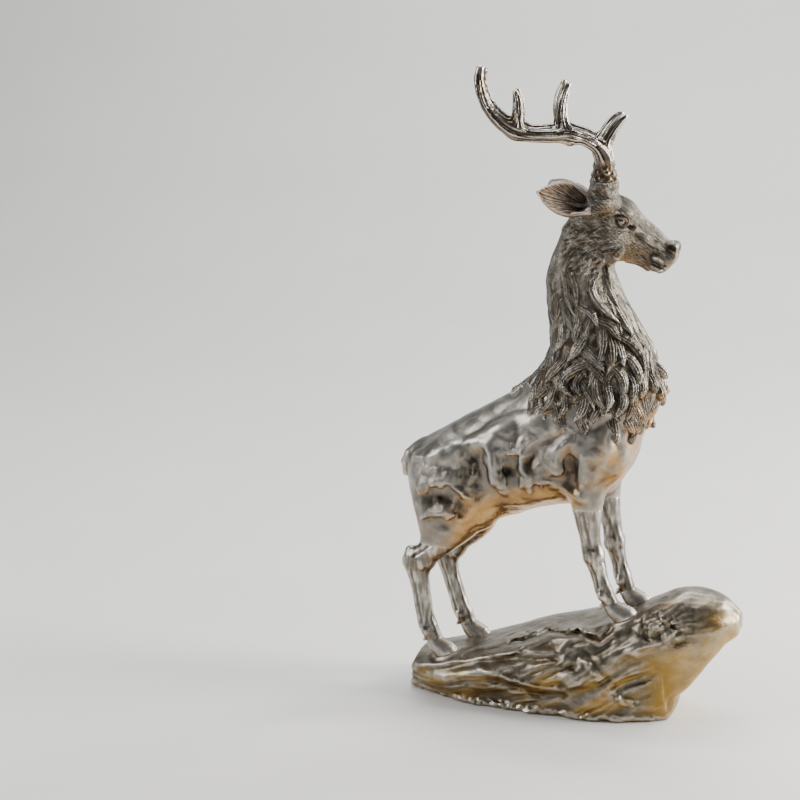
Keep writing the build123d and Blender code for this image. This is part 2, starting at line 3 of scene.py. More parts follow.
import bpy
import numpy as np
import openvdb as vdb
from mathutils import Matrix, Vector


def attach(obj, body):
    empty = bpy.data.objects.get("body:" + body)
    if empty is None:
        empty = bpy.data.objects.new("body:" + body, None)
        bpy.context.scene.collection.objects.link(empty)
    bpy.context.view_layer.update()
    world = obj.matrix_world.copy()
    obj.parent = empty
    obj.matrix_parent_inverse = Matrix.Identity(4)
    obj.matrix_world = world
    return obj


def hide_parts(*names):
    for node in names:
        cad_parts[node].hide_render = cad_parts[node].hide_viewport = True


# Lengths below are millimetres, in the frame of the CAD model, and become metres when a mesh is made.

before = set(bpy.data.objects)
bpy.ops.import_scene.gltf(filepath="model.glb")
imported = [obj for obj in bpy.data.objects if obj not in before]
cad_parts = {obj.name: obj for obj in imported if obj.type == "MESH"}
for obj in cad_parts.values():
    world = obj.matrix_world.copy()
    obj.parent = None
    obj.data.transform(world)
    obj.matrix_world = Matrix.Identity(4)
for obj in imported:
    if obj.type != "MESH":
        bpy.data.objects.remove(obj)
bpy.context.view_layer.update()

YAW = math.radians(15.0)
CY, SY = math.cos(YAW), math.sin(YAW)
HEAD_X = 25.0
NTILT = math.radians(10.4)
NPO = np.array([HEAD_X, 0.0, 301.0])
NPN = np.array([math.sin(NTILT), 0.0, math.cos(NTILT)])


# ------------------------------------------------------------------ noise
_r = np.random.default_rng(11)
_perm = np.concatenate([_r.permutation(256)] * 3).astype(np.int32)
_g = _r.normal(size=(256, 3)).astype(np.float32)
_g /= np.linalg.norm(_g, axis=1)[:, None]


def noise(x, y, z, seed=0):
    """Gradient noise, about -0.7 to 0.7."""
    x, y, z = np.broadcast_arrays(np.asarray(x, np.float32) + seed * 17.3, np.asarray(y, np.float32) - seed * 9.1, np.asarray(z, np.float32) + seed * 5.7)
    fx, fy, fz = np.floor(x), np.floor(y), np.floor(z)
    xi, yi, zi = fx.astype(np.int32) & 255, fy.astype(np.int32) & 255, fz.astype(np.int32) & 255
    x, y, z = x - fx, y - fy, z - fz
    u, v, w = x * x * x * (x * (x * 6 - 15) + 10), y * y * y * (y * (y * 6 - 15) + 10), z * z * z * (z * (z * 6 - 15) + 10)
    out = np.zeros_like(x)
    for dx in (0, 1):
        a = _perm[xi + dx]
        wx = u if dx else 1 - u
        for dy in (0, 1):
            b = _perm[a + yi + dy]
            wy = v if dy else 1 - v
            for dz in (0, 1):
                g = _g[_perm[b + zi + dz]]
                wz = w if dz else 1 - w
                out += wx * wy * wz * (g[..., 0] * (x - dx) + g[..., 1] * (y - dy) + g[..., 2] * (z - dz))
    return out


def fbm(x, y, z, octaves=3, seed=0, gain=0.5):
    out, amp = 0.0, 1.0
    for i in range(octaves):
        out = out + amp * noise(x, y, z, seed + i)
        x, y, z, amp = x * 2.03, y * 2.03, z * 2.03, amp * gain
    return out


# ------------------------------------------------------------------ signed fields
def smin(a, b, k):
    if k <= 0:
        return np.minimum(a, b)
    h = np.maximum(k - np.abs(a - b), 0.0) / k
    return np.minimum(a, b) - h * h * k * 0.25


def smax(a, b, k):
    return -smin(-a, -b, k)


def sstep(a, b, x):
    t = np.clip((x - a) / (b - a), 0.0, 1.0)
    return t * t * (3 - 2 * t)


def curve(table, n=240):
    """Rows of numbers, the first the parameter, resampled as a smooth curve for np.interp."""
    t = np.array(table, float)
    o = np.argsort(t[:, 0])
    t = t[o]
    x, y = t[:, 0], t[:, 1:]
    h = np.diff(x)
    d = np.diff(y, axis=0) / h[:, None]
    m = np.zeros_like(y)
    m[1:-1] = (d[:-1] * h[1:, None] + d[1:] * h[:-1, None]) / (h[:-1] + h[1:])[:, None]
    m[0], m[-1] = d[0], d[-1]
    q = np.linspace(x[0], x[-1], n)
    i = np.clip(np.searchsorted(x, q) - 1, 0, len(h) - 1)
    s = ((q - x[i]) / h[i])[:, None]
    hh = h[i][:, None]
    v = (2 * s**3 - 3 * s**2 + 1) * y[i] + (s**3 - 2 * s**2 + s) * hh * m[i] + (-2 * s**3 + 3 * s**2) * y[i + 1] + (s**3 - s**2) * hh * m[i + 1]
    return q, v


def at(c, x, j):
    return np.interp(x, c[0], c[1][:, j]).astype(np.float32)


def ell2(u, v, a, b):
    """Distance, near the surface, to an ellipse with half axes a and b."""
    k0 = np.sqrt((u / a) ** 2 + (v / b) ** 2) + 1e-6
    k1 = np.sqrt((u / (a * a)) ** 2 + (v / (b * b)) ** 2) + 1e-6
    return k0 * (k0 - 1) / k1


def ellipsoid(X, Y, Z, c, r, rot=None):
    x, y, z = X - c[0], Y - c[1], Z - c[2]
    if rot is not None:
        x, y, z = (rot[i][0] * x + rot[i][1] * y + rot[i][2] * z for i in range(3))
    k0 = np.sqrt((x / r[0]) ** 2 + (y / r[1]) ** 2 + (z / r[2]) ** 2) + 1e-6
    k1 = np.sqrt((x / r[0] ** 2) ** 2 + (y / r[1] ** 2) ** 2 + (z / r[2] ** 2) ** 2) + 1e-6
    return k0 * (k0 - 1) / k1


def rot_y(deg):
    """Rows of a frame whose first axis leans up from +X by deg, in the XZ plane."""
    a = math.radians(deg)
    return ((math.cos(a), 0, math.sin(a)), (0, 1, 0), (-math.sin(a), 0, math.cos(a)))


def capsule(X, Y, Z, a, b, ra, rb, sy=1.0):
    """Tapered capsule, flattened across Y by sy about its own centre line."""
    ab = [b[i] - a[i] for i in range(3)]
    L = ab[0] ** 2 + ab[1] ** 2 + ab[2] ** 2 + 1e-9
    px, py, pz = X - a[0], Y - a[1], Z - a[2]
    t = np.clip((px * ab[0] + py * ab[1] + pz * ab[2]) / L, 0, 1)
    return np.sqrt((px - t * ab[0]) ** 2 + ((py - t * ab[1]) * sy) ** 2 + (pz - t * ab[2]) ** 2) - (ra + t * (rb - ra))


def path(points, n=40):
    """A smooth path through rows of x, y, z, r."""
    p = np.array(points, float)
    s = np.concatenate([[0], np.cumsum(np.linalg.norm(np.diff(p[:, :3], axis=0), axis=1))])
    q, v = curve(np.column_stack([s, p]), n)
    return v


def head_pt(a, lat, z):
    return (HEAD_X + a * CY - lat * SY, a * SY + lat * CY, z)


class Field:
    def __init__(self, lo, hi, h):
        self.h = float(h)
        self.lo = np.array(lo, float)
        self.n = np.ceil((np.array(hi, float) - self.lo) / h).astype(int) + 1
        self.f = np.full(self.n, 40.0, np.float32)

    def axes(self, sl=None):
        r = []
        for i in range(3):
            a = np.arange(self.n[i], dtype=np.float32) * self.h + self.lo[i]
            r.append(a if sl is None else a[sl[i]])
        return r[0][:, None, None], r[1][None, :, None], r[2][None, None, :]

    def sub(self, lo, hi, pad):
        i0 = np.maximum(np.floor((np.array(lo, float) - pad - self.lo) / self.h).astype(int), 0)
        i1 = np.minimum(np.ceil((np.array(hi, float) + pad - self.lo) / self.h).astype(int) + 1, self.n)
        if (i1 <= i0).any():
            return None
        return tuple(slice(a, b) for a, b in zip(i0, i1))

    def put(self, fn, lo, hi, k=0.0, pad=None, op="add"):
        sl = self.sub(lo, hi, max(k, 2.0) + 2 * self.h if pad is None else pad)
        if sl is None:
            return
        d = fn(*self.axes(sl))
        a = self.f[sl]
        self.f[sl] = smin(a, d, k) if op == "add" else smax(a, -d, k)

    def ball(self, c, r, k=4.0, rot=None, op="add"):
        m = max(r)
        self.put(lambda X, Y, Z: ellipsoid(X, Y, Z, c, r, rot), np.array(c) - m, np.array(c) + m, k, op=op)

    def tube(self, pts, k=3.0, sy=1.0, op="add"):
        """A smooth tube through rows of x, y, z, r, joined inside itself without creases."""
        p = np.array(pts, float)
        m = p[:, 3].max()
        sl = self.sub(p[:, :3].min(0) - m, p[:, :3].max(0) + m, max(k, 2.0) + 2 * self.h)
        if sl is None:
            return
        X, Y, Z = self.axes(sl)
        d = None
        for a, b in zip(p[:-1], p[1:]):
            e = capsule(X, Y, Z, a[:3], b[:3], a[3], b[3], sy)
            d = e if d is None else np.minimum(d, e)
        a = self.f[sl]
        self.f[sl] = smin(a, d, k) if op == "add" else smax(a, -d, k)

    def sample(self, P):
        q = (P - self.lo) / self.h
        q = np.clip(q, 0, self.n - 1.001)
        i = np.floor(q).astype(int)
        w = q - i
        out = 0.0
        for dx in (0, 1):
            for dy in (0, 1):
                for dz in (0, 1):
                    out = out + self.f[i[:, 0] + dx, i[:, 1] + dy, i[:, 2] + dz] * (w[:, 0] if dx else 1 - w[:, 0]) * (w[:, 1] if dy else 1 - w[:, 1]) * (w[:, 2] if dz else 1 - w[:, 2])
        return out

    def grad(self, P, e=1.2):
        g = np.stack([self.sample(P + d) - self.sample(P - d) for d in np.eye(3) * e], axis=1)
        return g / (np.linalg.norm(g, axis=1)[:, None] + 1e-9)

    def project(self, P, level=0.0, n=4):
        for _ in range(n):
            P = P - (self.sample(P) - level)[:, None] * self.grad(P)
        return P


def surface(field):
    g = vdb.FloatGrid(40.0)
    g.copyFromArray(np.ascontiguousarray(np.clip(field.f, -40.0, 40.0)))
    pts, quads = g.convertToQuads(isovalue=0.0)
    pts = np.asarray(pts, float) * field.h + field.lo
    quads = np.asarray(quads, np.int64)
    a, b, c, d = (pts[quads[:, i]] for i in range(4))
    if np.einsum("ij,ij->i", a, np.cross(b, c)).sum() + np.einsum("ij,ij->i", a, np.cross(c, d)).sum() < 0:
        quads = quads[:, ::-1]
    return biggest(pts, quads)


def biggest(pts, quads):
    """Keeps the largest connected piece of a mesh."""
    n = len(pts)
    lab = np.arange(n)
    e = np.concatenate([quads[:, [0, 1]], quads[:, [1, 2]], quads[:, [2, 3]]])
    for _ in range(60):
        m = np.minimum(lab[e[:, 0]], lab[e[:, 1]])
        new = lab.copy()
        np.minimum.at(new, lab[e[:, 0]], m)
        np.minimum.at(new, lab[e[:, 1]], m)
        new = new[new]
        new = new[new]
        if (new == lab).all():
            break
        lab = new
    keep = lab == np.bincount(lab, minlength=n).argmax()
    idx = np.cumsum(keep) - 1
    q = quads[keep[quads[:, 0]]]
    return pts[keep], idx[q]


def normals(pts, quads):
    fn = np.cross(pts[quads[:, 2]] - pts[quads[:, 0]], pts[quads[:, 3]] - pts[quads[:, 1]])
    out = np.zeros_like(pts)
    for j in range(4):
        for k in range(3):
            out[:, k] += np.bincount(quads[:, j], weights=fn[:, k], minlength=len(pts))
    return out / (np.linalg.norm(out, axis=1)[:, None] + 1e-12)


def edges_of(quads):
    e = np.concatenate([quads[:, [0, 1]], quads[:, [1, 2]], quads[:, [2, 3]], quads[:, [3, 0]]])
    e.sort(axis=1)
    return np.unique(e, axis=0)


def relax(v, e, n, times, w=0.6):
    """Moves a value or a position towards the mean of its neighbours."""
    deg = np.bincount(e.ravel(), minlength=n).astype(float)
    deg[deg == 0] = 1
    v = v.copy()
    one = v.ndim == 1
    for _ in range(times):
        if one:
            s = np.bincount(e[:, 0], weights=v[e[:, 1]], minlength=n) + np.bincount(e[:, 1], weights=v[e[:, 0]], minlength=n)
            v += w * (s / deg - v)
        else:
            for k in range(v.shape[1]):
                s = np.bincount(e[:, 0], weights=v[e[:, 1], k], minlength=n) + np.bincount(e[:, 1], weights=v[e[:, 0], k], minlength=n)
                v[:, k] += w * (s / deg - v[:, k])
    return v


def cavity(pts, quads, steps=(6, 40)):
    """How far each point stands above its surroundings, at a fine and a broad scale, in mm."""
    e = edges_of(quads)
    n = len(pts)
    nm = normals(pts, quads)
    res, cur, done = [], pts.copy(), 0
    for s in steps:
        cur = relax(cur, e, n, s - done)
        done = s
        res.append(np.einsum("ij,ij->i", pts - cur, nm))
    return res


def piece(name, pts, quads, attrs, replaces, material):
    me = bpy.data.meshes.new(name)
    me.vertices.add(len(pts))
    me.vertices.foreach_set("co", (pts * 0.001).astype(np.float32).ravel())
    me.loops.add(4 * len(quads))
    me.loops.foreach_set("vertex_index", quads.astype(np.int32).ravel())
    me.polygons.add(len(quads))
    me.polygons.foreach_set("loop_start", np.arange(0, 4 * len(quads), 4, dtype=np.int32))
    me.update(calc_edges=True)
    me.validate()
    me.polygons.foreach_set("use_smooth", np.ones(len(me.polygons), bool))
    for k, v in attrs.items():
        v = np.asarray(v, np.float32)
        a = me.attributes.new(k, "FLOAT" if v.ndim == 1 else "FLOAT_VECTOR", "POINT")
        a.data.foreach_set("value" if v.ndim == 1 else "vector", v.ravel())
    ob = bpy.data.objects.new(name, me)
    bpy.context.scene.collection.objects.link(ob)
    ob.data.materials.append(material)
    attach(ob, "root")
    for r in replaces:
        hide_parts(r)
    print("piece", name, len(me.vertices), "points", len(me.polygons), "faces", flush=True)
    return ob


# ------------------------------------------------------------------ hair locks
class Lock:
    """A tapering flattened lock of hair laid along a path on the surface: P points, N outward, B across."""

    def __init__(self, P, N, w, h, lift, strands, phase, root=0.25, blunt=0.55):
        T = np.gradient(P, axis=0)
        T /= np.linalg.norm(T, axis=1)[:, None] + 1e-9
        B = np.cross(T, N)
        B /= np.linalg.norm(B, axis=1)[:, None] + 1e-9
        s = np.linspace(0, 1, len(P))
        self.s = s
        grow = sstep(0.0, 0.35, s) * (1 - root) + root
        tip = np.sqrt(np.clip(1 - sstep(blunt, 1.03, s) ** 1.3, 0.02, 1))
        self.w = np.maximum(w * grow * tip, 0.5)
        self.h = np.maximum(h * (0.55 + 0.45 * sstep(0, 0.5, s)) * np.sqrt(np.clip(1 - sstep(max(0.72, blunt), 1.08, s), 0.08, 1)), 0.4)
        self.P = P + N * ((-0.55 + (0.45 + lift) * s ** 1.3) * h)[:, None]
        self.N, self.B = N, B
        self.L = np.concatenate([[0], np.cumsum(np.linalg.norm(np.diff(P, axis=0), axis=1))])
        self.strands, self.phase, self.depth = strands, phase, min(h, 4.5)
        m = max(w, h) + 0.5
        self.lo, self.hi = self.P.min(0) - m, self.P.max(0) + m

    def form(self, X, Y, Z, groove=0.0):
        best = s_best = q_best = None
        for j in range(len(self.P) - 1):
            a, b = self.P[j], self.P[j + 1]
            ab = b - a
            LL = float(ab @ ab) + 1e-9
            px, py, pz = X - a[0], Y - a[1], Z - a[2]
            t = np.clip((px * ab[0] + py * ab[1] + pz * ab[2]) / LL, 0, 1)
            px, py, pz = px - t * ab[0], py - t * ab[1], pz - t * ab[2]
            B = (self.B[j] + self.B[j + 1]) * 0.5
            N = (self.N[j] + self.N[j + 1]) * 0.5
            qb = px * B[0] + py * B[1] + pz * B[2]
            qn = px * N[0] + py * N[1] + pz * N[2]
            qt2 = np.maximum(px * px + py * py + pz * pz - qb * qb - qn * qn, 0)
            w = self.w[j] + t * (self.w[j + 1] - self.w[j])
            h = self.h[j] + t * (self.h[j + 1] - self.h[j])
            k0 = np.sqrt((qb / w) ** 2 + (qn / h) ** 2 + qt2 / (h * h)) + 1e-6
            k1 = np.sqrt((qb / w ** 2) ** 2 + (qn / h ** 2) ** 2 + qt2 / h ** 4) + 1e-6
            d = k0 * (k0 - 1) / k1
            if groove:
                d = d + (groove * self.depth) * (0.5 - 0.5 * np.cos(qb / w * math.pi * self.strands + self.phase)) * (1 - np.minimum((qb / w) ** 4, 1))
            if best is None:
                best, s_best, q_best = d, self.L[j] + t * math.sqrt(LL), qb
            else:
                m = d < best
                best = np.where(m, d, best)
                s_best = np.where(m, self.L[j] + t * math.sqrt(LL), s_best)
                q_best = np.where(m, qb, q_best)
        return best, s_best, q_best


def lay_locks(body, roots, dirs, lengths, widths, thick, lift, bend, rng, steps=9, strands=None, level=-0.3, root=0.25, blunt=0.55):
    """Lays one lock from each root along its direction, following the body's surface and bending as it goes."""
    P = body.project(np.array(roots, float), level)
    D = np.array(dirs, float)
    n = len(P)
    lengths, widths, thick = (np.broadcast_to(np.asarray(v, float), n) for v in (lengths, widths, thick))
    lift, bend = (np.broadcast_to(np.asarray(v, float), n) for v in (lift, bend))
    Ps, Ns = [], []
    wob = rng.uniform(-1, 1, n)
    for i in range(steps):
        N = body.grad(P, 2.0)
        D = D - N * np.einsum("ij,ij->i", D, N)[:, None]
        D /= np.linalg.norm(D, axis=1)[:, None] + 1e-9
        Ps.append(P.copy())
        Ns.append(N.copy())
        s = i / (steps - 1)
        turn = bend * (1.0 - 2.2 * s) + wob * 0.5 * math.sin(6.28 * s)
        S = np.cross(N, D)
        D = D + S * (turn / steps)[:, None]
        D /= np.linalg.norm(D, axis=1)[:, None] + 1e-9
        P = body.project(P + D * (lengths / (steps - 1))[:, None], level, 2)
    Ps, Ns = np.array(Ps), np.array(Ns)
    out = []
    for i in range(n):
        k = int(round(widths[i] / 1.15)) if strands is None else strands
        out.append(Lock(Ps[:, i], Ns[:, i], widths[i], thick[i], lift[i], max(2, k), rng.uniform(0, 6.28), root, blunt))
    return out


def trace_lock(body, xz, s, w, h, lift, rng, strands=None, level=-0.3, steps=9, root=0.6, blunt=0.7, y=34.0):
    """One lock along a line given in x and z on the right (s -1) or left (s 1) side of the body."""
    p = np.array([(a, s * y, b, 0.0) for a, b in xz], float)
    q = path(p, steps)[:, :3] if len(p) > 2 else np.linspace(p[0, :3], p[-1, :3], steps)
    q = body.project(q, level, 6)
    N = body.grad(q, 2.0)
    k = int(round(w / 1.15)) if strands is None else strands
    return Lock(q, N, w, h, lift, max(1, k), rng.uniform(0, 6.28), root, blunt)


def warped(X, Y, Z, w):
    """The same points pushed about by up to w, for outlines that wander."""
    return X + w * 2 * noise(X / 10, Y / 10, Z / 10, seed=101), Y + 0 * X + 0 * Z, Z + w * 2 * noise(X / 9, Y / 9, Z / 9, seed=103)


def add_locks(field, locks, k=0.5, groove=0.3, warp=0.0):
    for L in locks:
        sl = field.sub(L.lo, L.hi, 1.5 + warp)
        if sl is None:
            continue
        ax = field.axes(sl)
        d, _, _ = L.form(*(warped(*ax, warp) if warp else ax), groove=groove)
        field.f[sl] = smin(field.f[sl], d.astype(np.float32), k)


def lock_coords(pts, locks, flow):
    """Strand coordinates: across and along the nearest lock where one is near, the given flow elsewhere."""
    best = np.full(len(pts), 1.1)
    out = flow.copy()
    on = np.zeros(len(pts))
    rand = np.zeros(len(pts))
    for i, L in enumerate(locks):
        m = np.where(((pts > L.lo - 1) & (pts < L.hi + 1)).all(1))[0]
        if not len(m):
            continue
        q = pts[m]
        d, s, b = L.form(q[:, 0], q[:, 1], q[:, 2])
        g = d < best[m]
        k = m[g]
        best[k] = d[g]
        out[k, 0] = b[g]
        out[k, 1] = s[g] * 0.12
        out[k, 2] = i * 3.7
        on[k] = 1
        rand[k] = (i * 0.618) % 1
    return out, on, rand


# ------------------------------------------------------------------ shape tables
TORSO = curve([(-156, 222, 3, 4), (-153, 219, 11, 15), (-148, 213, 20, 27), (-139, 209, 28, 38.5), (-115, 213, 34, 50), (-85, 225, 36, 56),
               (-50, 241, 36.5, 61), (-15, 257, 38.5, 64), (15, 266, 39.5, 67), (42, 273, 37.5, 64), (58, 282, 32, 52),
               (70, 293, 23, 33), (77, 299, 13, 18), (81, 301, 4, 5)])
NECK = curve([(262, -16, 56, 22), (275, -28, 68, 30), (291, -38, 77, 36.5), (303, -36.5, 83.5, 38.5), (313, -33, 88, 39), (327, -23, 88.5, 37.5),
              (342, -16.5, 82.5, 34.5), (361, -16.2, 73.5, 30.5), (379, -18.5, 63, 27.5), (395, -19.8, 53, 25.2),
              (409, -20.8, 46.5, 23.8), (425, -17.5, 41, 22.2), (442, -11.5, 37, 20), (458, -4.5, 32, 15), (466, 2, 26, 9)])
SKULL = curve([(-23.5, -12, 7, 7), (-16, -8, 17, 14), (-8, -2, 26, 18.3), (0, 1, 30.5, 19.6), (8, 3, 30.8, 19.8), (17.6, 4, 29.3, 18.6), (25.8, 3.5, 26.5, 16.3),
               (37.4, 5, 22, 13.4), (46, 6, 19.6, 11.9), (54, 6.2, 17.7, 11.0), (62, 5.2, 16.5, 11.2), (68, 6.3, 16.4, 11.3), (72.5, 7.0, 15.2, 10.6), (75.8, 8, 10.5, 8.2), (77.5, 8.6, 4, 4)])
BEAM = [(5.7, 14.5, 500, 10.8), (5.5, 16, 511, 9.2), (5.2, 18.5, 522, 7.9), (-1.0, 22.5, 533.5, 6.8), (-13.0, 27.5, 541.5, 5.9),
        (-27, 31.5, 545, 6.5), (-46, 36, 545, 6.2), (-63, 39, 546, 6.2), (-77, 41, 550.5, 6.8), (-89, 42, 559, 5.9),
        (-98.5, 42, 570, 5.0), (-104.5, 41, 583, 4.5), (-106.6, 39, 595, 4.3), (-105.6, 37.4, 603.3, 3.6)]
TINES = [
    [(-74, 40.5, 549, 5.6), (-72.2, 40, 562, 5.2), (-72.6, 39, 575, 4.0), (-74.3, 38, 583.3, 2.6)],
    [(-26, 31, 543, 5.8), (-32.4, 31, 558, 5.0), (-33.2, 30, 571, 4.3), (-30.6, 28.5, 583, 3.5), (-28.2, 27, 589.3, 2.5)],
    [(4.5, 19, 524, 6.3), (6.6, 18, 537, 5.6), (11.5, 16.5, 548, 4.8), (17.6, 15, 556, 3.8), (22.6, 13.6, 560.6, 2.5)],
]
LEG_Y = {"foreleg_right": -24.0, "foreleg_left": 24.0, "hindleg_right": -23.0, "hindleg_left": 23.0}
JOINT_Z = {"fore": 200.0, "hind": 150.0}
LEGS = {
    "foreleg_right": [(275, 24, 27, 13), (262, 25, 26.5, 15.5), (235, 26, 23, 15), (215, 27, 17.3, 13.2), (200, 27.8, 14.4, 11.5), (186, 29.2, 11.7, 9.8), (168, 32, 9.7, 8.3),
                      (157, 34.3, 9.9, 8.8), (150, 36.3, 9.3, 8.2), (141, 39.3, 7.7, 6.7), (130, 43, 7.3, 6.2), (122, 46.3, 8.6, 7.2), (116.5, 48.9, 8.9, 7.5), (110, 52.3, 7.6, 6.8), (104, 56, 7.4, 6.8)],
    "foreleg_left": [(275, 27, 27, 13), (262, 28, 26.5, 15.5), (235, 29, 23, 15), (215, 31, 17.3, 13.2), (200, 33, 14.2, 11.5), (186, 36.3, 11.6, 9.8), (170, 40.3, 9.5, 8.3),
                     (159, 42.3, 9.8, 8.8), (151, 43.7, 9.2, 8.2), (143, 45.7, 7.6, 6.7), (131, 49.5, 7.2, 6.2), (123, 51.7, 8.4, 7.2), (116, 54.3, 8.8, 7.5), (109, 57.5, 7.5, 6.8), (103, 61, 7.4, 6.8)],
    "hindleg_right": [(235, -104, 40, 13), (215, -105.5, 38.5, 18), (192, -106, 34.5, 17.5), (168, -110.5, 27.3, 14.6), (156, -113, 22.3, 12.4), (149, -117.3, 19.6, 11.3), (142, -125.5, 19, 10.3),
                      (135, -134.2, 18.2, 9.4), (128, -138.3, 15.2, 8.6), (119, -138.1, 11.3, 7.8), (107, -135.4, 9.1, 7.0), (90, -132.9, 8.4, 6.6), (74, -129.6, 8.6, 6.8), (66, -126.8, 9.8, 7.7), (60, -124.2, 9.6, 7.6),
                      (53, -119.8, 8.0, 6.9), (47, -115.5, 8.0, 7.0)],
    "hindleg_left": [(235, -98, 38, 13), (215, -98, 37, 18), (192, -97, 33.5, 17.5), (168, -97.5, 26.5, 14.6), (156, -99.5, 21.8, 12.4), (149, -103, 19.2, 11.3), (142, -110.5, 18.6, 10.3),
                     (135, -118.8, 17.8, 9.4), (128, -123.2, 14.8, 8.6), (119, -123.4, 10.8, 7.8), (108, -120.7, 8.9, 7.0), (92, -115.4, 8.4, 6.6), (78, -111, 8.6, 6.8), (70, -107.7, 9.7, 7.7), (63, -104.6, 9.6, 7.6),
                     (56, -100.4, 8.0, 6.9), (50, -96.5, 8.0, 7.0)],
}
SOLES = {"foreleg_right": (67.5, 98.0, 26), "foreleg_left": (70.8, 96.0, 23), "hindleg_right": (-108.5, 40.5, 17), "hindleg_left": (-88.8, 44.8, 20)}
ROCK = [
    (-143, [(-14, -8), (-18, 8), (-21, 21), (-17, 29), (-6, 33), (8, 34), (24, 33), (35, 27), (39, 16), (36, 2), (33, -8), (8, -10)]),
    (-122, [(-24, -8), (-31, 8), (-37, 22), (-33, 31), (-21, 36.5), (0, 38), (24, 37), (44, 31), (50, 18), (46, 4), (41, -8), (8, -10)]),
    (-92, [(-32, -8), (-40, 10), (-47, 27), (-42, 38), (-26, 46), (0, 47), (26, 45.5), (48, 38), (55, 22), (51, 5), (46, -8), (8, -10)]),
    (-50, [(-36, -8), (-44, 12), (-52, 33), (-46, 47), (-28, 57), (0, 59), (28, 59), (50, 52), (60, 32), (56, 8), (49, -8), (8, -10)]),
    (-10, [(-38, -8), (-46, 14), (-54, 38), (-47, 56), (-29, 69.5), (0, 72), (28, 76), (50, 68), (62, 42), (58, 10), (51, -8), (8, -10)]),
    (30, [(-38, -8), (-46, 16), (-53, 44), (-47, 65), (-29, 82.5), (0, 84), (28, 85), (50, 78), (62, 50), (58, 12), (52, -8), (8, -10)]),
    (66, [(-33, -8), (-43, 18), (-50, 50), (-45, 76), (-28, 96.0), (0, 95), (26, 93.5), (47, 86), (59, 54), (56, 14), (51, -8), (8, -10)]),
    (92, [(-18, -8), (-33, 18), (-43, 50), (-40, 82), (-25, 103), (0, 103), (24, 100), (42, 88), (54, 54), (53, 14), (48, -8), (14, -10)]),
    (106, [(-7, -8), (-24, 16), (-35, 46), (-33, 76), (-20, 95), (2, 96), (24, 92), (40, 80), (50, 50), (49, 14), (45, -8), (17, -10)]),
]
SPUR = [
    (62, [(-26, 44), (-36, 54), (-42, 68), (-38, 82), (-27, 90), (0, 92), (26, 90), (38, 82), (44, 66), (38, 52), (26, 44), (0, 40)]),
    (92, [(-26, 30), (-38, 44), (-46, 70), (-42, 95), (-26, 111), (0, 115), (24, 110), (42, 95), (52, 68), (44, 44), (30, 32), (2, 26)]),
    (118, [(-16, 26), (-29, 40), (-38, 68), (-36, 96), (-23, 117), (0, 125), (22, 120), (38, 102), (47, 68), (42, 40), (30, 28), (8, 22)]),
    (140, [(-14, 42), (-24, 52), (-31, 74), (-30, 98), (-18, 118), (1, 124), (19, 119), (32, 101), (38, 74), (34, 54), (24, 44), (6, 40)]),
    (156, [(-9, 62), (-17, 69), (-23, 84), (-22, 100), (-12, 114), (2, 119), (16, 114), (25, 101), (28, 85), (25, 70), (18, 62), (5, 58)]),
    (169, [(-3, 86), (-7, 89), (-9, 94), (-8, 101), (-3, 106), (3, 108), (9, 106), (13, 101), (14, 94), (12, 89), (9, 86), (4, 84)]),
]
FAR = 1e3


# ------------------------------------------------------------------ the stag's body
def torso_fn(X, Y, Z):
    x = np.clip(X, -156, 81)
    v = (Z - at(TORSO, x, 0)) / at(TORSO, x, 2)
    w = at(TORSO, x, 1) * (1 - 0.10 * np.clip(v, -1, 1) - 0.06 * np.clip(v, -1, 1) ** 2)
    return np.maximum(ell2(Y, Z - at(TORSO, x, 0), w, at(TORSO, x, 2)), np.maximum(X - 81, -156 - X))


def neck_frame(Z):
    z = np.clip(Z, 262, 466)
    xb, xf, hw = at(NECK, z, 0), at(NECK, z, 1), at(NECK, z, 2)
    t = YAW * np.clip((z - 380) / 60.0, 0, 1)
    c = (xb + xf) / 2 - HEAD_X
    return HEAD_X + c * np.cos(t), c * np.sin(t), (xf - xb) / 2, hw, t


def neck_fn(X, Y, Z):
    cx, cy, hl, hw, t = neck_frame(Z)
    u = (X - cx) * np.cos(t) + (Y - cy) * np.sin(t)
    v = -(X - cx) * np.sin(t) + (Y - cy) * np.cos(t)
    # the throat and the crest are a little narrower than an ellipse
    w = hw * (1 - 0.07 * np.clip(u / hl, -1, 1) ** 2)
    return np.maximum(ell2(u, v, hl, w), np.maximum(Z - 466, 262 - Z))


E1 = (math.cos(math.radians(31)), -math.sin(math.radians(31)))


def skull_coords(X, Y, Z):
    a = (X - HEAD_X) * CY + Y * SY
    lat = -(X - HEAD_X) * SY + Y * CY
    t = (a - 1) * E1[0] + (Z - 462) * E1[1]
    v = -(a - 1) * E1[1] + (Z - 462) * E1[0]
    return t, v, lat


def skull_fn(X, Y, Z):
    t, v, lat = skull_coords(X, Y, Z)
    tc = np.clip(t, -23.5, 77.5)
    c, hh, hw = at(SKULL, tc, 0), at(SKULL, tc, 1), at(SKULL, tc, 2)
    r = np.clip((v - c) / hh, -1, 1)
    slim = np.where(r < 0, 1 + 0.26 * r * sstep(20, 50, tc) + 0.10 * r, 1 - 0.10 * r * r)
    return np.maximum(ell2(lat, v - c, hw * slim, hh), np.maximum(t - 77.5, -23.5 - t))


def leg_fn(rows, y):
    c = curve(rows)
    z0, z1 = rows[-1][0], rows[0][0]

    def fn(X, Y, Z):
        z = np.clip(Z, z0, z1)
        lean = 18 * sstep(205, 265, z) if rows[0][0] > 240 else 7 * sstep(170, 225, z)
        yy = y - math.copysign(1, y) * (lean * 0.45)
        return np.maximum(ell2(X - at(c, z, 0), Y - yy, at(c, z, 1), at(c, z, 2)), np.maximum(Z - z1, z0 - Z))
    return fn


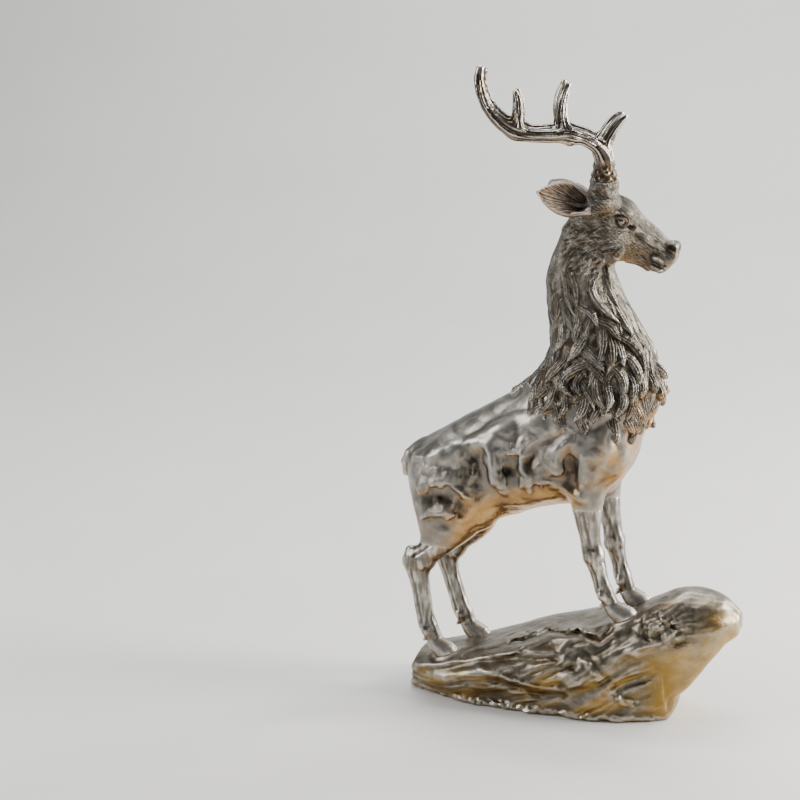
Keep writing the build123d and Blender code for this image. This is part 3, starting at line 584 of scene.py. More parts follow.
def body_mass(F):
    F.put(torso_fn, (-156, -42, 145), (81, 42, 335), 0)
    F.put(neck_fn, (-42, -42, 262), (95, 42, 466), 16)
    for s in (-1, 1):
        # shoulder blade, point of shoulder, rib swell, hip, haunch, fold of the flank
        F.ball((12, s * 23, 268), (25, 16, 44), 12, rot_y(12))
        F.ball((50, s * 20, 252), (16, 13, 26), 12, rot_y(-14))
        F.ball((-38, s * 21, 238), (44, 17, 38), 14, rot_y(20))
        F.ball((-112, s * 20, 232), (30, 15, 22), 12, rot_y(32))
        F.ball((-103, s * 19, 198), (36, 19, 46), 12, rot_y(-6))
        F.ball((-76, s * 17, 190), (17, 13, 21), 10)
    # tail
    F.tube([(-140, 0, 238, 9), (-153, 0, 230, 7), (-158.5, 0, 222, 5), (-158, 0, 211, 3.5)], 6)
    for leg, rows in LEGS.items():
        y = LEG_Y[leg]
        top = rows[0][0]
        F.put(leg_fn(rows, y), (min(r[1] - r[2] for r in rows), y - 20, rows[-1][0]), (max(r[1] + r[2] for r in rows), y + 20, top), 7)


def head_mass(F):
    F.put(skull_fn, (-5, -32, 405), (112, 48, 505), 9)
    for s in (-1, 1):
        P = lambda a, lat, z: head_pt(a, s * lat, z)
        F.ball(P(10, 14.5, 444), (15, 6.5, 15), 7)            # cheek
        F.ball(P(23, 13.2, 476.2), (9.5, 5.6, 4.6), 4, rot_y(-24))   # brow
        F.ball(P(2, 12.5, 484), (12, 7, 11), 8)               # root of the pedicle
        F.tube([(*P(32, 12.5, 460), 2.6), (*P(44, 10.5, 450.5), 2.0), (*P(54, 8.6, 443), 1.6)], 5)   # cheek bone running to the nose
        F.ball(P(21, 20.2, 467.6), (5.4, 3.3, 4.1), 3, op="cut")   # eye socket
        F.ball(P(30.5, 16.0, 462), (4.5, 2.2, 2.2), 2.5, op="cut")   # tear pit
        F.ball(P(38, 14.6, 453.5), (5, 2.0, 3.6), 3, op="cut")
        F.ball(P(21, 14.9, 467.4), (3.9, 4.2, 3.6), 0.6)      # eyeball
        ring = []
        for i in range(25):
            q = 2 * math.pi * i / 24
            c, d = math.cos(q), math.sin(q)
            ring.append((*P(21 + 5.2 * c + 0.6 * d, 17.6 - 1.4 * c * c + 0.5 * d, 467.4 + 3.6 * d - 1.1 * c), 0.75 + 0.35 * max(d, 0)))
        F.tube(ring, 1.2)
        wrinkle = []
        for i in range(15):
            q = math.pi * (-0.15 + 1.3 * i / 14)
            c, d = math.cos(q), math.sin(q)
            wrinkle.append((*P(21 + 7.3 * c + 0.8 * d, 17.4 - 1.8 * c * c, 467.8 + 5.6 * d - 1.4 * c), 0.65))
        F.tube(wrinkle, 1.2)
        F.tube([(*P(11.5, 18.2, 473.2), 0.9), (*P(16, 18.6, 475), 1.2), (*P(22, 17.8, 475.2), 1.3), (*P(28.5, 15.8, 471.5), 1.0)], 1.6)
        F.tube([(*P(15, 18.6, 460.6), 0.6), (*P(21, 18.2, 459.3), 0.9), (*P(27, 16.6, 460.4), 0.6)], 1.4)
        F.ball(P(67.5, 6.2, 441.5), (5.2, 4.2, 4.8), 3)       # wing of the nostril
        F.tube([(*P(69.8, 9.6, 439.4), 1.0), (*P(68.4, 9.6, 441.8), 2.4), (*P(65.4, 10.0, 443.4), 2.0), (*P(62.0, 10.4, 442.0), 0.9)], 0.9, op="cut")
        F.tube([(*P(66.5, 1.5, 427.6), 0.8), (*P(62.5, 7.5, 425.9), 0.9), (*P(57.3, 10.2, 425.9), 0.95), (*P(50.5, 11.8, 429.6), 0.9), (*P(44.0, 12.6, 434.3), 0.7)], 0.7, op="cut")
        F.tube([(*P(62, 6, 421.6), 1.6), (*P(56, 8.2, 421.8), 1.7), (*P(49.5, 9.2, 425.4), 1.4)], 2.0)   # lower lip
        F.tube([(*P(64, 7.5, 430), 1.8), (*P(58, 10, 430), 2.0), (*P(51, 11.6, 433.5), 1.7)], 2.6)     # upper lip
        p0, p1 = head_pt(5.5, s * 13.5, 486), head_pt(5.7, s * 14.8, 503.5)
        F.tube([(*p0, 13.4), (*p1, 11.3)], 6)
        F.ball(P(-7, 17, 478), (9, 6.5, 9), 5)                # root of the ear
        for i in range(26):                                   # knobs round the pedicle
            q, up = 2.4 * i + s, 491.5 + 11.5 * ((i * 0.618) % 1)
            rad = 12.0 - (up - 491.5) * 0.12
            F.ball(P(5.6 + rad * math.cos(q), 14.2 + rad * 0.96 * math.sin(q), up), (2.4 + 0.7 * math.sin(3 * i), 2.4 + 0.6 * math.cos(2 * i), 2.2 + 1.0 * math.sin(5 * i)), 1.6)
    F.tube([(*head_pt(70.5, 0, 446), 0.7), (*head_pt(73.5, 0, 438), 0.8), (*head_pt(70.5, 0, 431), 0.7)], 1.0, op="cut")
    F.ball(head_pt(71.2, 0, 443.4), (4.6, 8.2, 4.4), 3)


def hoof(F, leg):
    cx, cz, tilt = SOLES[leg]
    y = LEG_Y[leg]
    a = math.radians(tilt)
    T, Nn = (math.cos(a), math.sin(a)), (-math.sin(a), math.cos(a))
    tab = curve([(-0.2, 0.4, 11.6, 9.3), (3, -0.6, 12.0, 9.5), (7, -2.4, 12.0, 9.2), (11, -4.6, 10.8, 8.5), (14, -6.2, 9.4, 7.9), (18, -8.5, 7.8, 7.0)])

    def fn(X, Y, Z):
        u = (X - cx) * T[0] + (Z - cz) * T[1]
        n = (X - cx) * Nn[0] + (Z - cz) * Nn[1]
        m = np.clip(n, -0.2, 18)
        c, hl, hw = at(tab, m, 0), at(tab, m, 1), at(tab, m, 2)
        q = np.clip((u - c) / hl, -1, 1)
        d = ell2(u - c, Y - y, hl, hw * (1 - 0.20 * np.clip(q, 0, 1) ** 2))
        d = smax(d, -n, 1.2)
        return np.maximum(d, n - 18)
    F.put(fn, (cx - 30, y - 12, cz - 12), (cx + 20, y + 12, cz + 26), 1.2)
    # coronet band, cleft between the two claws, and dew claws behind

    def pt(u, n, yy, r):
        return (cx + u * T[0] + n * Nn[0], y + yy, cz + u * T[1] + n * Nn[1], r)
    F.tube([pt(4.2, 15.2, 0, 0.7), pt(7.2, 10.5, 0, 0.9), pt(10.3, 5.0, 0, 1.05), pt(12.6, -1, 0, 1.2)], 0.7, op="cut")
    F.tube([pt(13, 0, 0, 0.9), pt(0, -0.6, 0, 0.8), pt(-10, 0.2, 0, 1.0)], 0.6, op="cut")
    F.tube([pt(-12.2, 3, 0, 1.4), pt(-13.6, 8, 0, 1.3), pt(-13.2, 12, 0, 0.8)], 1.2, op="cut")
    back = -15.5 if leg.startswith("fore") else -14.8
    for s in (-1, 1):
        F.tube([pt(back, 20.5, s * 3.7, 2.0), pt(back - 2.2, 18.5, s * 4.1, 1.6)], 1.4)


coarse = Field((-168, -62, 90), (116, 62, 520), 2.0)
body_mass(coarse)
head_mass(coarse)


# ------------------------------------------------------------------ materials
def nt_material(name):
    m = bpy.data.materials.new(name)
    m.use_nodes = True
    nt = m.node_tree
    nt.nodes.clear()
    out = nt.nodes.new("ShaderNodeOutputMaterial")
    bs = nt.nodes.new("ShaderNodeBsdfPrincipled")
    nt.links.new(bs.outputs[0], out.inputs[0])
    return m, nt, bs


class Nodes:
    """Short calls for a material's node tree."""

    def __init__(self, nt):
        self.nt = nt

    def new(self, kind, **inputs):
        n = self.nt.nodes.new(kind)
        for k, v in inputs.items():
            self.set(n, k, v)
        return n

    def set(self, n, key, v):
        s = n.inputs[int(key[1:])] if key[0] == "i" and key[1:].isdigit() else n.inputs[key.replace("_", " ")]
        if isinstance(v, bpy.types.NodeSocket):
            self.nt.links.new(v, s)
        else:
            s.default_value = v

    def attr(self, name, out="Fac"):
        n = self.nt.nodes.new("ShaderNodeAttribute")
        n.attribute_name = name
        return n.outputs[out]

    def math(self, op, a, b=None, c=None, clamp=False):
        n = self.nt.nodes.new("ShaderNodeMath")
        n.operation = op
        n.use_clamp = clamp
        for i, v in enumerate((a, b, c)):
            if v is not None:
                self.set(n, f"i{i}", v)
        return n.outputs[0]

    def ramp(self, v, lo, hi, a=0.0, b=1.0):
        n = self.nt.nodes.new("ShaderNodeMapRange")
        n.interpolation_type = "SMOOTHSTEP"
        for k, x in zip(("Value", "From Min", "From Max", "To Min", "To Max"), (v, lo, hi, a, b)):
            self.set(n, k, x)
        return n.outputs[0]

    def mix(self, f, a, b):
        n = self.nt.nodes.new("ShaderNodeMix")
        n.data_type = "RGBA"
        for i, v in ((0, f), (6, a), (7, b)):
            if isinstance(v, bpy.types.NodeSocket):
                self.nt.links.new(v, n.inputs[i])
            else:
                n.inputs[i].default_value = v if i == 0 else (*v, 1.0)
        return n.outputs[2]

    def noise(self, vec, scale, detail=3.0, rough=0.55, dist=0.0):
        n = self.nt.nodes.new("ShaderNodeTexNoise")
        self.set(n, "Vector", vec)
        n.inputs["Scale"].default_value = scale
        n.inputs["Detail"].default_value = detail
        n.inputs["Roughness"].default_value = rough
        n.inputs["Distortion"].default_value = dist
        return n.outputs[0]

    def vmul(self, vec, s):
        n = self.nt.nodes.new("ShaderNodeVectorMath")
        n.operation = "MULTIPLY"
        self.nt.links.new(vec, n.inputs[0])
        n.inputs[1].default_value = s
        return n.outputs[0]


def cast_metal(name, base=(0.33, 0.31, 0.28), edge=(0.66, 0.63, 0.585), dark=(0.022, 0.015, 0.010), warm=(0.36, 0.20, 0.065), rough=(0.27, 0.52), strand=0.0, cav=(-0.5, 0.0, 0.55), fine=0.25, grain=0.10, gold_and_painted_reflection=1.0, spots=0.55):
    """Silvered cast metal: bright where it stands proud and has been rubbed, grey on the open faces, brown in the
    recesses, and golden on faces that turn downward, which is a painted golden reflection, as well as where the mesh
    carries a golden tint.
    """
    m, nt, bs = nt_material(name)
    N = Nodes(nt)
    co = N.new("ShaderNodeTexCoord").outputs["Object"]
    cv = N.attr("cav")
    # the tone attribute carries random tone and, on some pieces, painted highlight, painted shade and painted dark
    # reflection
    tone_and_painted_light = N.attr("tone_and_painted_light")
    big = N.noise(co, 22.0, 3.0, 0.6)
    mid = N.noise(co, 110.0, 4.0, 0.62)
    tiny = N.noise(co, 850.0, 3.0, 0.6)
    e = N.math("ADD", cv, N.math("MULTIPLY", N.math("SUBTRACT", mid, 0.5), spots * 1.3))
    e = N.math("ADD", e, N.math("MULTIPLY", N.math("SUBTRACT", big, 0.5), spots))
    e = N.math("ADD", e, tone_and_painted_light)
    hgt = None
    if strand:
        fl = N.attr("flow", "Vector")
        s1 = N.noise(N.vmul(fl, (0.85, 1.0, 1.0)), 1.0, 2.0, 0.6, 0.15)
        s2 = N.noise(N.vmul(fl, (1.9, 1.6, 1.0)), 1.0, 2.0, 0.6, 0.1)
        st = N.math("ADD", N.math("MULTIPLY", s1, 0.62), N.math("MULTIPLY", s2, 0.38))
        on = N.math("MULTIPLY", N.attr("hair"), strand)
        e = N.math("ADD", e, N.math("MULTIPLY", N.math("MULTIPLY", N.math("SUBTRACT", st, 0.5), 2.2), on))
        hgt = N.math("MULTIPLY", N.math("MULTIPLY", st, on), 2.4)
    geo = N.new("ShaderNodeNewGeometry")
    sep = N.new("ShaderNodeSeparateXYZ", i0=geo.outputs["Normal"])
    # painted golden reflection: faces that turn downward are mixed toward the warm colour, on top of the golden tint
    # and painted reflection that the mesh carries
    down = N.ramp(N.math("SUBTRACT", N.math("MULTIPLY", sep.outputs[2], -1.0), N.math("MULTIPLY", mid, 0.25)), -0.15, 0.50)
    gmask = N.attr("gold_and_painted_reflection")
    dmix = N.math("ADD", N.math("MULTIPLY", down, 0.6 * gold_and_painted_reflection), gmask, clamp=True)
    dmix = N.math("MULTIPLY", dmix, N.ramp(big, 0.28, 0.55, 0.55, 1.0))
    body = N.mix(N.ramp(big, 0.36, 0.66), base, tuple(c * k for c, k in zip(base, (0.72, 0.70, 0.66))))
    body = N.mix(N.math("MULTIPLY", N.ramp(mid, 0.52, 0.72), 0.5), body, tuple(c * k for c, k in zip(base, (1.30, 1.20, 1.08))))
    body = N.mix(dmix, body, warm)
    up = N.ramp(e, cav[1], cav[2])
    bright = N.mix(N.math("MULTIPLY", dmix, 0.75), edge, tuple(min(1.0, c * 1.9) for c in warm))
    shade = N.mix(up, body, bright)
    proud = N.ramp(e, cav[0], cav[1])
    brown = N.mix(N.ramp(mid, 0.35, 0.7), dark, tuple(min(1, c * k) for c, k in zip(dark, (3.6, 2.9, 2.2))))
    col = N.mix(proud, brown, shade)
    N.set(bs, "Base_Color", col)
    N.set(bs, "Metallic", N.ramp(proud, 0.0, 0.6, 0.75, 1.0))
    r = N.math("ADD", N.ramp(proud, 0.0, 1.0, rough[1], rough[0]), N.math("MULTIPLY", N.math("SUBTRACT", mid, 0.5), 0.22))
    r = N.math("ADD", r, N.math("MULTIPLY", N.math("SUBTRACT", tiny, 0.5), 0.16))
    r = N.math("SUBTRACT", r, N.math("MULTIPLY", N.attr("polish"), 0.16), clamp=True)
    r = N.math("MAXIMUM", r, 0.10)
    N.set(bs, "Roughness", r)
    h = N.math("ADD", N.math("MULTIPLY", mid, fine), N.math("MULTIPLY", tiny, grain))
    if hgt is not None:
        h = N.math("ADD", h, hgt)
    bump = N.new("ShaderNodeBump")
    bump.inputs["Strength"].default_value = 0.6
    bump.inputs["Distance"].default_value = 0.0008
    N.set(bump, "Height", h)
    N.set(bs, "Normal", bump.outputs[0])
    return m


M_BODY = cast_metal("silvered_body", base=(0.185, 0.170, 0.147), edge=(0.52, 0.497, 0.455), rough=(0.37, 0.42), strand=1.0, cav=(-2.1, -0.6, 1.35), fine=0.7, spots=0.75)
M_HAIR = cast_metal("silvered_mane", base=(0.205, 0.193, 0.170), edge=(0.68, 0.655, 0.61), dark=(0.024, 0.019, 0.014), rough=(0.27, 0.52), strand=0.8, cav=(-0.40, 0.28, 1.05), fine=0.2, gold_and_painted_reflection=0.45)
M_HEAD = cast_metal("silvered_head", base=(0.170, 0.159, 0.138), edge=(0.60, 0.575, 0.535), dark=(0.024, 0.019, 0.014), rough=(0.29, 0.52), strand=1.25, cav=(-0.42, 0.22, 1.0), fine=0.25, gold_and_painted_reflection=0.7)
M_LEG = cast_metal("silvered_leg", base=(0.165, 0.150, 0.130), edge=(0.60, 0.575, 0.53), rough=(0.32, 0.50), cav=(-0.75, -0.15, 0.75), fine=0.5, spots=0.5)
M_ANTLER = cast_metal("silvered_antler", base=(0.135, 0.118, 0.098), edge=(0.62, 0.585, 0.54), rough=(0.27, 0.48), cav=(-0.42, 0.02, 0.42), fine=0.3, gold_and_painted_reflection=0.5, spots=0.5)
M_EAR = cast_metal("silvered_ear", base=(0.33, 0.30, 0.265), warm=(0.30, 0.15, 0.06), rough=(0.33, 0.55), strand=1.0, cav=(-0.60, 0.05, 0.80), fine=0.3)
M_ROCK = cast_metal("silvered_rock", base=(0.132, 0.114, 0.084), edge=(0.42, 0.385, 0.33), dark=(0.026, 0.018, 0.010), warm=(0.245, 0.148, 0.034), rough=(0.36, 0.54), cav=(-1.6, -0.4, 1.15), fine=0.9, grain=0.25, spots=0.9)


# ------------------------------------------------------------------ pieces
NONE = np.zeros(1)


def finish_piece(name, pts, quads, material, replaces, locks=(), flow=None, extra=None, steps=(5, 45)):
    c1, c2 = cavity(pts, quads, steps)
    n = len(pts)
    attrs = {"cav": c1 * 1.6 + c2 * 0.30, "broad": c2}
    if flow is None:
        flow = pts * np.array([0.3, 0.3, 0.3])
    fl, on, rnd = lock_coords(pts, locks, flow)
    attrs["flow"] = fl
    base = {"hair": on, "tone_and_painted_light": (rnd - 0.5) * 0.4 * on, "gold_and_painted_reflection": np.zeros(n), "polish": np.zeros(n)}
    base.update(extra or {})
    attrs.update(base)
    return piece(name, pts, quads, attrs, replaces, material)


def cut_plane(F, point, normal, gap=0.04):
    X, Y, Z = F.axes()
    d = (X - point[0]) * normal[0] + (Y - point[1]) * normal[1] + (Z - point[2]) * normal[2]
    F.f = np.maximum(F.f, (d + gap).astype(np.float32))


def region(F, sl=None):
    return F.axes(sl)


# legs
def make_leg(leg):
    rows, y = LEGS[leg], LEG_Y[leg]
    jz = JOINT_Z[leg[:4]]
    cx, cz, tilt = SOLES[leg]
    keep = [r for r in rows if r[0] < jz + 12]
    lo = (min(r[1] - r[2] for r in keep) - 6, y - 17, cz - 9)
    hi = (max(max(r[1] + r[2] for r in keep), cx + 14) + 4, y + 17, jz + 4)
    F = Field(lo, hi, 0.72)
    fore = leg.startswith("fore")
    body_mass(F)
    body = curve(rows)
    cxa = lambda z: float(np.interp(z, body[0], body[1][:, 0]))
    hla = lambda z: float(np.interp(z, body[0], body[1][:, 1]))
    hwa = lambda z: float(np.interp(z, body[0], body[1][:, 2]))
    if fore:
        zt = [196, 180, 166]
        F.ball((cxa(157) + 3.2, y, 157), (7.4, 7.6, 8.0), 4)               # knee
        F.ball((cxa(150) - 7.2, y, 152.5), (4.2, 4.6, 4.6), 3)              # accessory carpal
        bone, tend = (146, 124), (147, 120)
    else:
        F.ball((cxa(137) - 12.6, y, 138.5), (6.0, 5.0, 7.5), 5, rot_y(20))  # point of the hock
        F.ball((cxa(133) + 6, y, 132), (9.5, 8.4, 8.5), 5)
        bone, tend = (122, 68), (124, 66)
    zs = np.linspace(bone[0], bone[1], 7)
    F.tube([(cxa(z) + hla(z) * 0.34, y, z, hwa(z) * 0.80) for z in zs], 3.0)
    F.tube([(cxa(z) - hla(z) * 0.74, y, z, 2.7) for z in np.linspace(tend[0], tend[1], 7)], 1.5)
    for s in (-1, 1):
        # the groove between bone and tendon, and the vein or muscle lines above it
        F.tube([(cxa(z) - hla(z) * 0.36, y + s * (hwa(z) * 0.96 + 0.5), z, 1.35) for z in np.linspace(bone[0] + 1, bone[1] + 3, 7)], 1.6, op="cut")
        if fore:
            F.tube([(cxa(z) + hla(z) * k, y + s * (hwa(z) + 0.7), z, 1.2) for z, k in ((198, -0.1), (186, 0.0), (174, 0.12), (164, 0.3))], 2.2, op="cut")
            F.tube([(cxa(z) - hla(z) * k, y + s * (hwa(z) * 0.72 + 1.0), z, 0.9) for z, k in ((196, 0.7), (182, 0.72), (170, 0.66))], 1.6, op="cut")
            F.ball((cxa(157) - 1, y + s * 7.4, 157), (3.4, 2.2, 5.5), 2)
        else:
            F.tube([(cxa(z) - hla(z) * k, y + s * (hwa(z) * 0.86 + 1.0), z, 1.3) for z, k in ((152, 0.35), (145, 0.42), (139, 0.46))], 2.4, op="cut")
            F.ball((cxa(133) + 4, y + s * 7.6, 131), (4, 2.4, 6), 2)
        fz = 118.5 if fore else (62.5 if leg.endswith("right") else 66.0)
        F.ball((cxa(fz) - 2.0, y + s * 5.4, fz), (5.0, 3.2, 4.6), 2.5)
    hoof(F, leg)
    X, Y, Z = F.axes()
    a = math.radians(tilt)
    F.f = np.maximum(F.f, (-((X - cx) * -math.sin(a) + (Z - cz) * math.cos(a)) + 0.0 * Y).astype(np.float32))
    F.f = F.f + (0.45 * fbm(X / 10, Y / 10, Z / 15, 3, seed=3) * sstep(jz, jz - 9, Z) * (np.abs(F.f) < 4)).astype(np.float32)
    F.f = F.f + (0.14 * sstep(jz - 0.6, jz + 0.2, Z)).astype(np.float32)         # a short spigot closes the joint line
    F.f = np.maximum(F.f, (Z - jz - 1.3 + 0 * X + 0 * Y).astype(np.float32))
    if fore:
        F.f = np.maximum(F.f, (8.02 - X + 0 * Z + 0 * Y).astype(np.float32))
    pts, quads = surface(F)
    n = len(pts)
    streak = fbm(pts[:, 0] / 3.2, pts[:, 1] / 3.2, pts[:, 2] / 16, 2, seed=9)
    hoofy = sstep(24, 14, (pts[:, 0] - cx) * -math.sin(a) + (pts[:, 2] - cz) * math.cos(a))
    return finish_piece("stag_" + leg, pts, quads, M_LEG, [leg],
                        extra={"tone_and_painted_light": streak * 0.6 * (1 - hoofy) + 0.10 * hoofy, "polish": -0.45 * hoofy, "hair": np.zeros(n)})


for leg in LEGS:
    make_leg(leg)


# antlers
def antler_path(left, rows, back=0.0):
    s = 1.0 if left else -1.0
    out = []
    for a, lat, z, r in rows:
        if left:
            a, z = a - back, z - 0.07 * max(0.0, -a)
        out.append((*head_pt(a, s * lat, z), r))
    return out


def make_antler(left):
    name = "antler_left" if left else "antler_right"
    s = 1.0 if left else -1.0
    beam = path(antler_path(left, BEAM), 60)
    tines = [path(antler_path(left, t, (0.0, 4.0, 3.0)[k] if left else 0.0), 22) for k, t in enumerate(TINES)]
    allp = np.concatenate([beam] + tines)
    lo, hi = allp[:, :3].min(0) - 12, allp[:, :3].max(0) + 9
    p0, p1 = np.array(head_pt(5.7, s * 14.5, 505)), np.array(head_pt(5.5, s * 16, 513))
    nrm = (p1 - p0) / np.linalg.norm(p1 - p0)
    lo[2] = 500
    F = Field(lo, hi, 0.62)
    F.tube(beam, 0)
    for t in tines:
        F.tube(t, 7)
    # coronet beads round the foot of the antler
    rng = np.random.default_rng(21 + left)
    S = np.array([-SY, CY, 0.0])
    S = S - nrm * (S @ nrm)
    S /= np.linalg.norm(S)
    Q = np.cross(nrm, S)
    for row, (up, rad, size) in enumerate(((2.0, 9.4, 2.9), (6.5, 8.4, 2.6), (11.5, 7.2, 2.3))):
        for i in range(9 - row):
            q = 2 * math.pi * (i + rng.uniform(-0.25, 0.25)) / (9 - row) + row
            c = p0 + nrm * (up + rng.uniform(-1.4, 1.4)) + (S * math.cos(q) + Q * math.sin(q)) * rad
            F.ball(c, (size * rng.uniform(0.7, 1.25), size * rng.uniform(0.7, 1.2), size * rng.uniform(0.8, 1.6)), 1.6)
    cut_plane(F, p0, -nrm)
    pts, quads = surface(F)
    # flutes along the nearest branch
    nm = normals(pts, quads)
    best = np.full(len(pts), 1e9)
    depth = np.zeros(len(pts))
    across = np.zeros(len(pts))
    along = np.zeros(len(pts))
    for k, br in enumerate([beam] + tines):
        P = br[:, :3]
        T = np.gradient(P, axis=0)
        T /= np.linalg.norm(T, axis=1)[:, None]
        ref = np.array([-SY, CY, 0.15]) * s
        d2 = ((pts[:, None, :] - P[None]) ** 2).sum(2) if len(P) * len(pts) < 4e7 else None
        j = d2.argmin(1)
        dist = np.sqrt(d2[np.arange(len(pts)), j]) - br[j, 3]
        U = ref - T[j] * (T[j] @ ref)[:, None]
        U /= np.linalg.norm(U, axis=1)[:, None]
        V = np.cross(T[j], U)
        q = pts - P[j]
        ang = np.arctan2(np.einsum("ij,ij->i", q, V), np.einsum("ij,ij->i", q, U))
        L = np.concatenate([[0], np.cumsum(np.linalg.norm(np.diff(P, axis=0), axis=1))])
        m = dist < best
        best[m] = dist[m]
        flute = np.cos(ang * (7 if k == 0 else 5) + 1.2 * np.sin(L[j] / 17 + k) + 1.5 * noise(ang * 1.2, L[j] / 14, 3.0 * k, seed=2))
        fine = np.cos(ang * 15 + 3.0 * noise(ang, L[j] / 9, 2.0 * k, seed=4))
        u = L[j] / L[-1]
        pearl = noise(ang * 2.6, L[j] / 2.6, 5.0 * k, seed=6)
        end = sstep(1.0, 0.86, u)
        h = -0.95 * (0.5 - 0.5 * flute) ** 1.6 * end - 0.22 * fine * end + 0.75 * pearl * (sstep(0.62, 0.80, u) if k == 0 else sstep(0.5, 0.0, u) * 0.5) * sstep(1.0, 0.93, u)
        depth[m] = h[m]
        across[m], along[m] = ang[m], L[j][m]
    lump = fbm(pts[:, 0] / 7, pts[:, 1] / 7, pts[:, 2] / 7, 3, seed=14)
    foot = sstep(526, 512, pts[:, 2])
    depth = depth * (1 - foot) + foot * lump * 1.4
    hold = sstep(0.3, 2.0, (pts - p0) @ nrm)
    pts = pts + nm * (depth * hold)[:, None]
    extra = {"tone_and_painted_light": -0.25 * foot + 0.12 * lump, "polish": 0.6 * (1 - foot), "hair": np.zeros(len(pts)),
             "gold_and_painted_reflection": 0.35 * sstep(0.0, 0.5, noise(pts[:, 0] / 14, pts[:, 1] / 14, pts[:, 2] / 14, seed=5))}
    finish_piece("stag_" + name, pts, quads, M_ANTLER, [name], extra=extra, steps=(4, 20))


make_antler(False)
make_antler(True)


# ears
def make_ear(left):
    s = 1.0 if left else -1.0
    name = "ear_left" if left else "ear_right"
    base = np.array(head_pt(-6, s * 18.0, 480.0))
    tip = np.array(head_pt(-47.0, 40.0, 487.0) if left else head_pt(-54.7, -33.0, 495.0))         # the left ear is turned out a little more
    D = tip - base
    L = float(np.linalg.norm(D))
    D /= L
    U = np.array([0, 0, 1.0])
    U = U - D * (U @ D)
    U /= np.linalg.norm(U)
    Nn = np.cross(D, U)
    side = np.array([-SY, CY, 0.0]) * s + np.array([CY, SY, 0.0]) * 0.25
    if Nn @ side < 0:
        Nn = -Nn
    tw = math.radians(16)
    Nn, U = Nn * math.cos(tw) + U * math.sin(tw), U * math.cos(tw) - Nn * math.sin(tw)
    outer = curve([(-4, 0, 5.0, 5.0, -0.4), (2, 0, 7.5, 6.0, -0.5), (8, 0.3, 11.0, 6.8, -0.8), (17, 0.6, 14.6, 7.0, -1.2), (26, 0.8, 15.6, 6.2, -1.0), (36, 0.6, 13.2, 5.0, -0.5), (44, 0.2, 8.8, 3.8, 0.2), (49, 0, 4.6, 2.6, 0.8), (L + 1.0, 0, 0.7, 0.8, 1.0)])

    def coords(X, Y, Z):
        x, y, z = X - base[0], Y - base[1], Z - base[2]
        return (x * D[0] + y * D[1] + z * D[2], x * U[0] + y * U[1] + z * U[2], x * Nn[0] + y * Nn[1] + z * Nn[2])
    F = Field(np.minimum(base, tip) - 20, np.maximum(base, tip) + 20, 0.5)

    def leaf(X, Y, Z):
        t, u, n = coords(X, Y, Z)
        tc = np.clip(t, -4, L + 1)
        c, hw, th, off = (at(outer, tc, i) for i in range(4))
        return np.maximum(ell2(u - c, n - off, hw, th), np.maximum(t - L - 1, -4 - t))

    def scoop(X, Y, Z):
        t, u, n = coords(X, Y, Z)
        tc = np.clip(t, 3, L - 1.5)
        c, hw, th, off = (at(outer, tc, i) for i in range(4))
        w = np.maximum(hw - 1.5, 0.4) * sstep(2, 12, tc) + 0.3
        d = ell2(u - c, n - off - th * 0.85, w, th * 1.28)
        return smax(d, np.maximum(t - L + 1.5, 3 - t), 2.0)
    F.put(leaf, F.lo, F.lo + F.n * F.h, 0)
    F.put(scoop, F.lo, F.lo + F.n * F.h, 1.6, op="cut")
    # a fold at the root of the ear, and tufts that fill its lower half
    q = lambda t, u, n, r: (*(base + D * t + U * u + Nn * n), r)
    F.tube([q(2, -6.5, 2.6, 2.2), q(10, -9.0, 3.4, 1.9), q(18, -12.0, 3.4, 1.3)], 1.6)
    F.tube([q(1, 4.5, 3.2, 2.0), q(8, 8.6, 3.4, 1.5), q(16, 12.5, 3.2, 1.1)], 1.4)
    F.tube([q(4, -1.0, -0.6, 2.2), q(12, -1.5, -2.0, 1.6), q(22, -1.0, -3.0, 0.9)], 2.2)
    X, Y, Z = F.axes()
    # it stops where the head begins
    head = Field(F.lo, F.lo + F.n * F.h, 1.0)
    head_mass(head)
    P = np.stack(np.broadcast_arrays(X, Y, Z), -1).reshape(-1, 3)
    near = np.abs(F.f.ravel()) < 5
    v = np.full(len(P), 10.0, np.float32)
    v[near] = head.sample(P[near])
    F.f = smax(F.f, (-v - 1.6).reshape(F.f.shape).astype(np.float32), 0.6)
    pts, quads = surface(F)
    nm = normals(pts, quads)
    t, u, n = coords(pts[:, 0], pts[:, 1], pts[:, 2])
    inside = sstep(-0.2, 0.5, nm @ Nn) * sstep(3, 9, t) * sstep(L + 1, L - 6, t)
    c, hw = np.interp(t, outer[0], outer[1][:, 0]), np.interp(t, outer[0], outer[1][:, 1])
    inside = inside * sstep(1.0, 0.86, np.abs((u - c) / np.maximum(hw, 1)))
    fan = np.arctan2(u + 1.0, t + 9) * 34
    ridge = noise(fan * 1.1, t / 22, n * 0 + 2, seed=3) + 0.5 * noise(fan * 2.2, t / 12, n * 0 + 5, seed=8)
    pts = pts + nm * (ridge * 1.15 * inside + 0.2 * (1 - inside) * noise(u / 1.5, t / 9, n / 3, seed=1))[:, None]
    flow = np.column_stack([fan * 2.0, t * 0.12, n * 0.1])
    extra = {"tone_and_painted_light": -0.34 * inside * sstep(-0.7, 0.25, noise(t / 11, u / 7, n * 0, seed=12) + 0.25) * sstep(1.0, 0.72, np.abs((u - c) / np.maximum(hw, 1))),
             "gold_and_painted_reflection": 0.75 * inside * sstep(-0.1, 0.5, noise(t / 9 + 3, u / 5, n * 0, seed=7)), "hair": 0.6 + 0.4 * inside}
    finish_piece("stag_" + name, pts, quads, M_EAR, [name], flow=flow, extra=extra, steps=(4, 30))


make_ear(False)
make_ear(True)


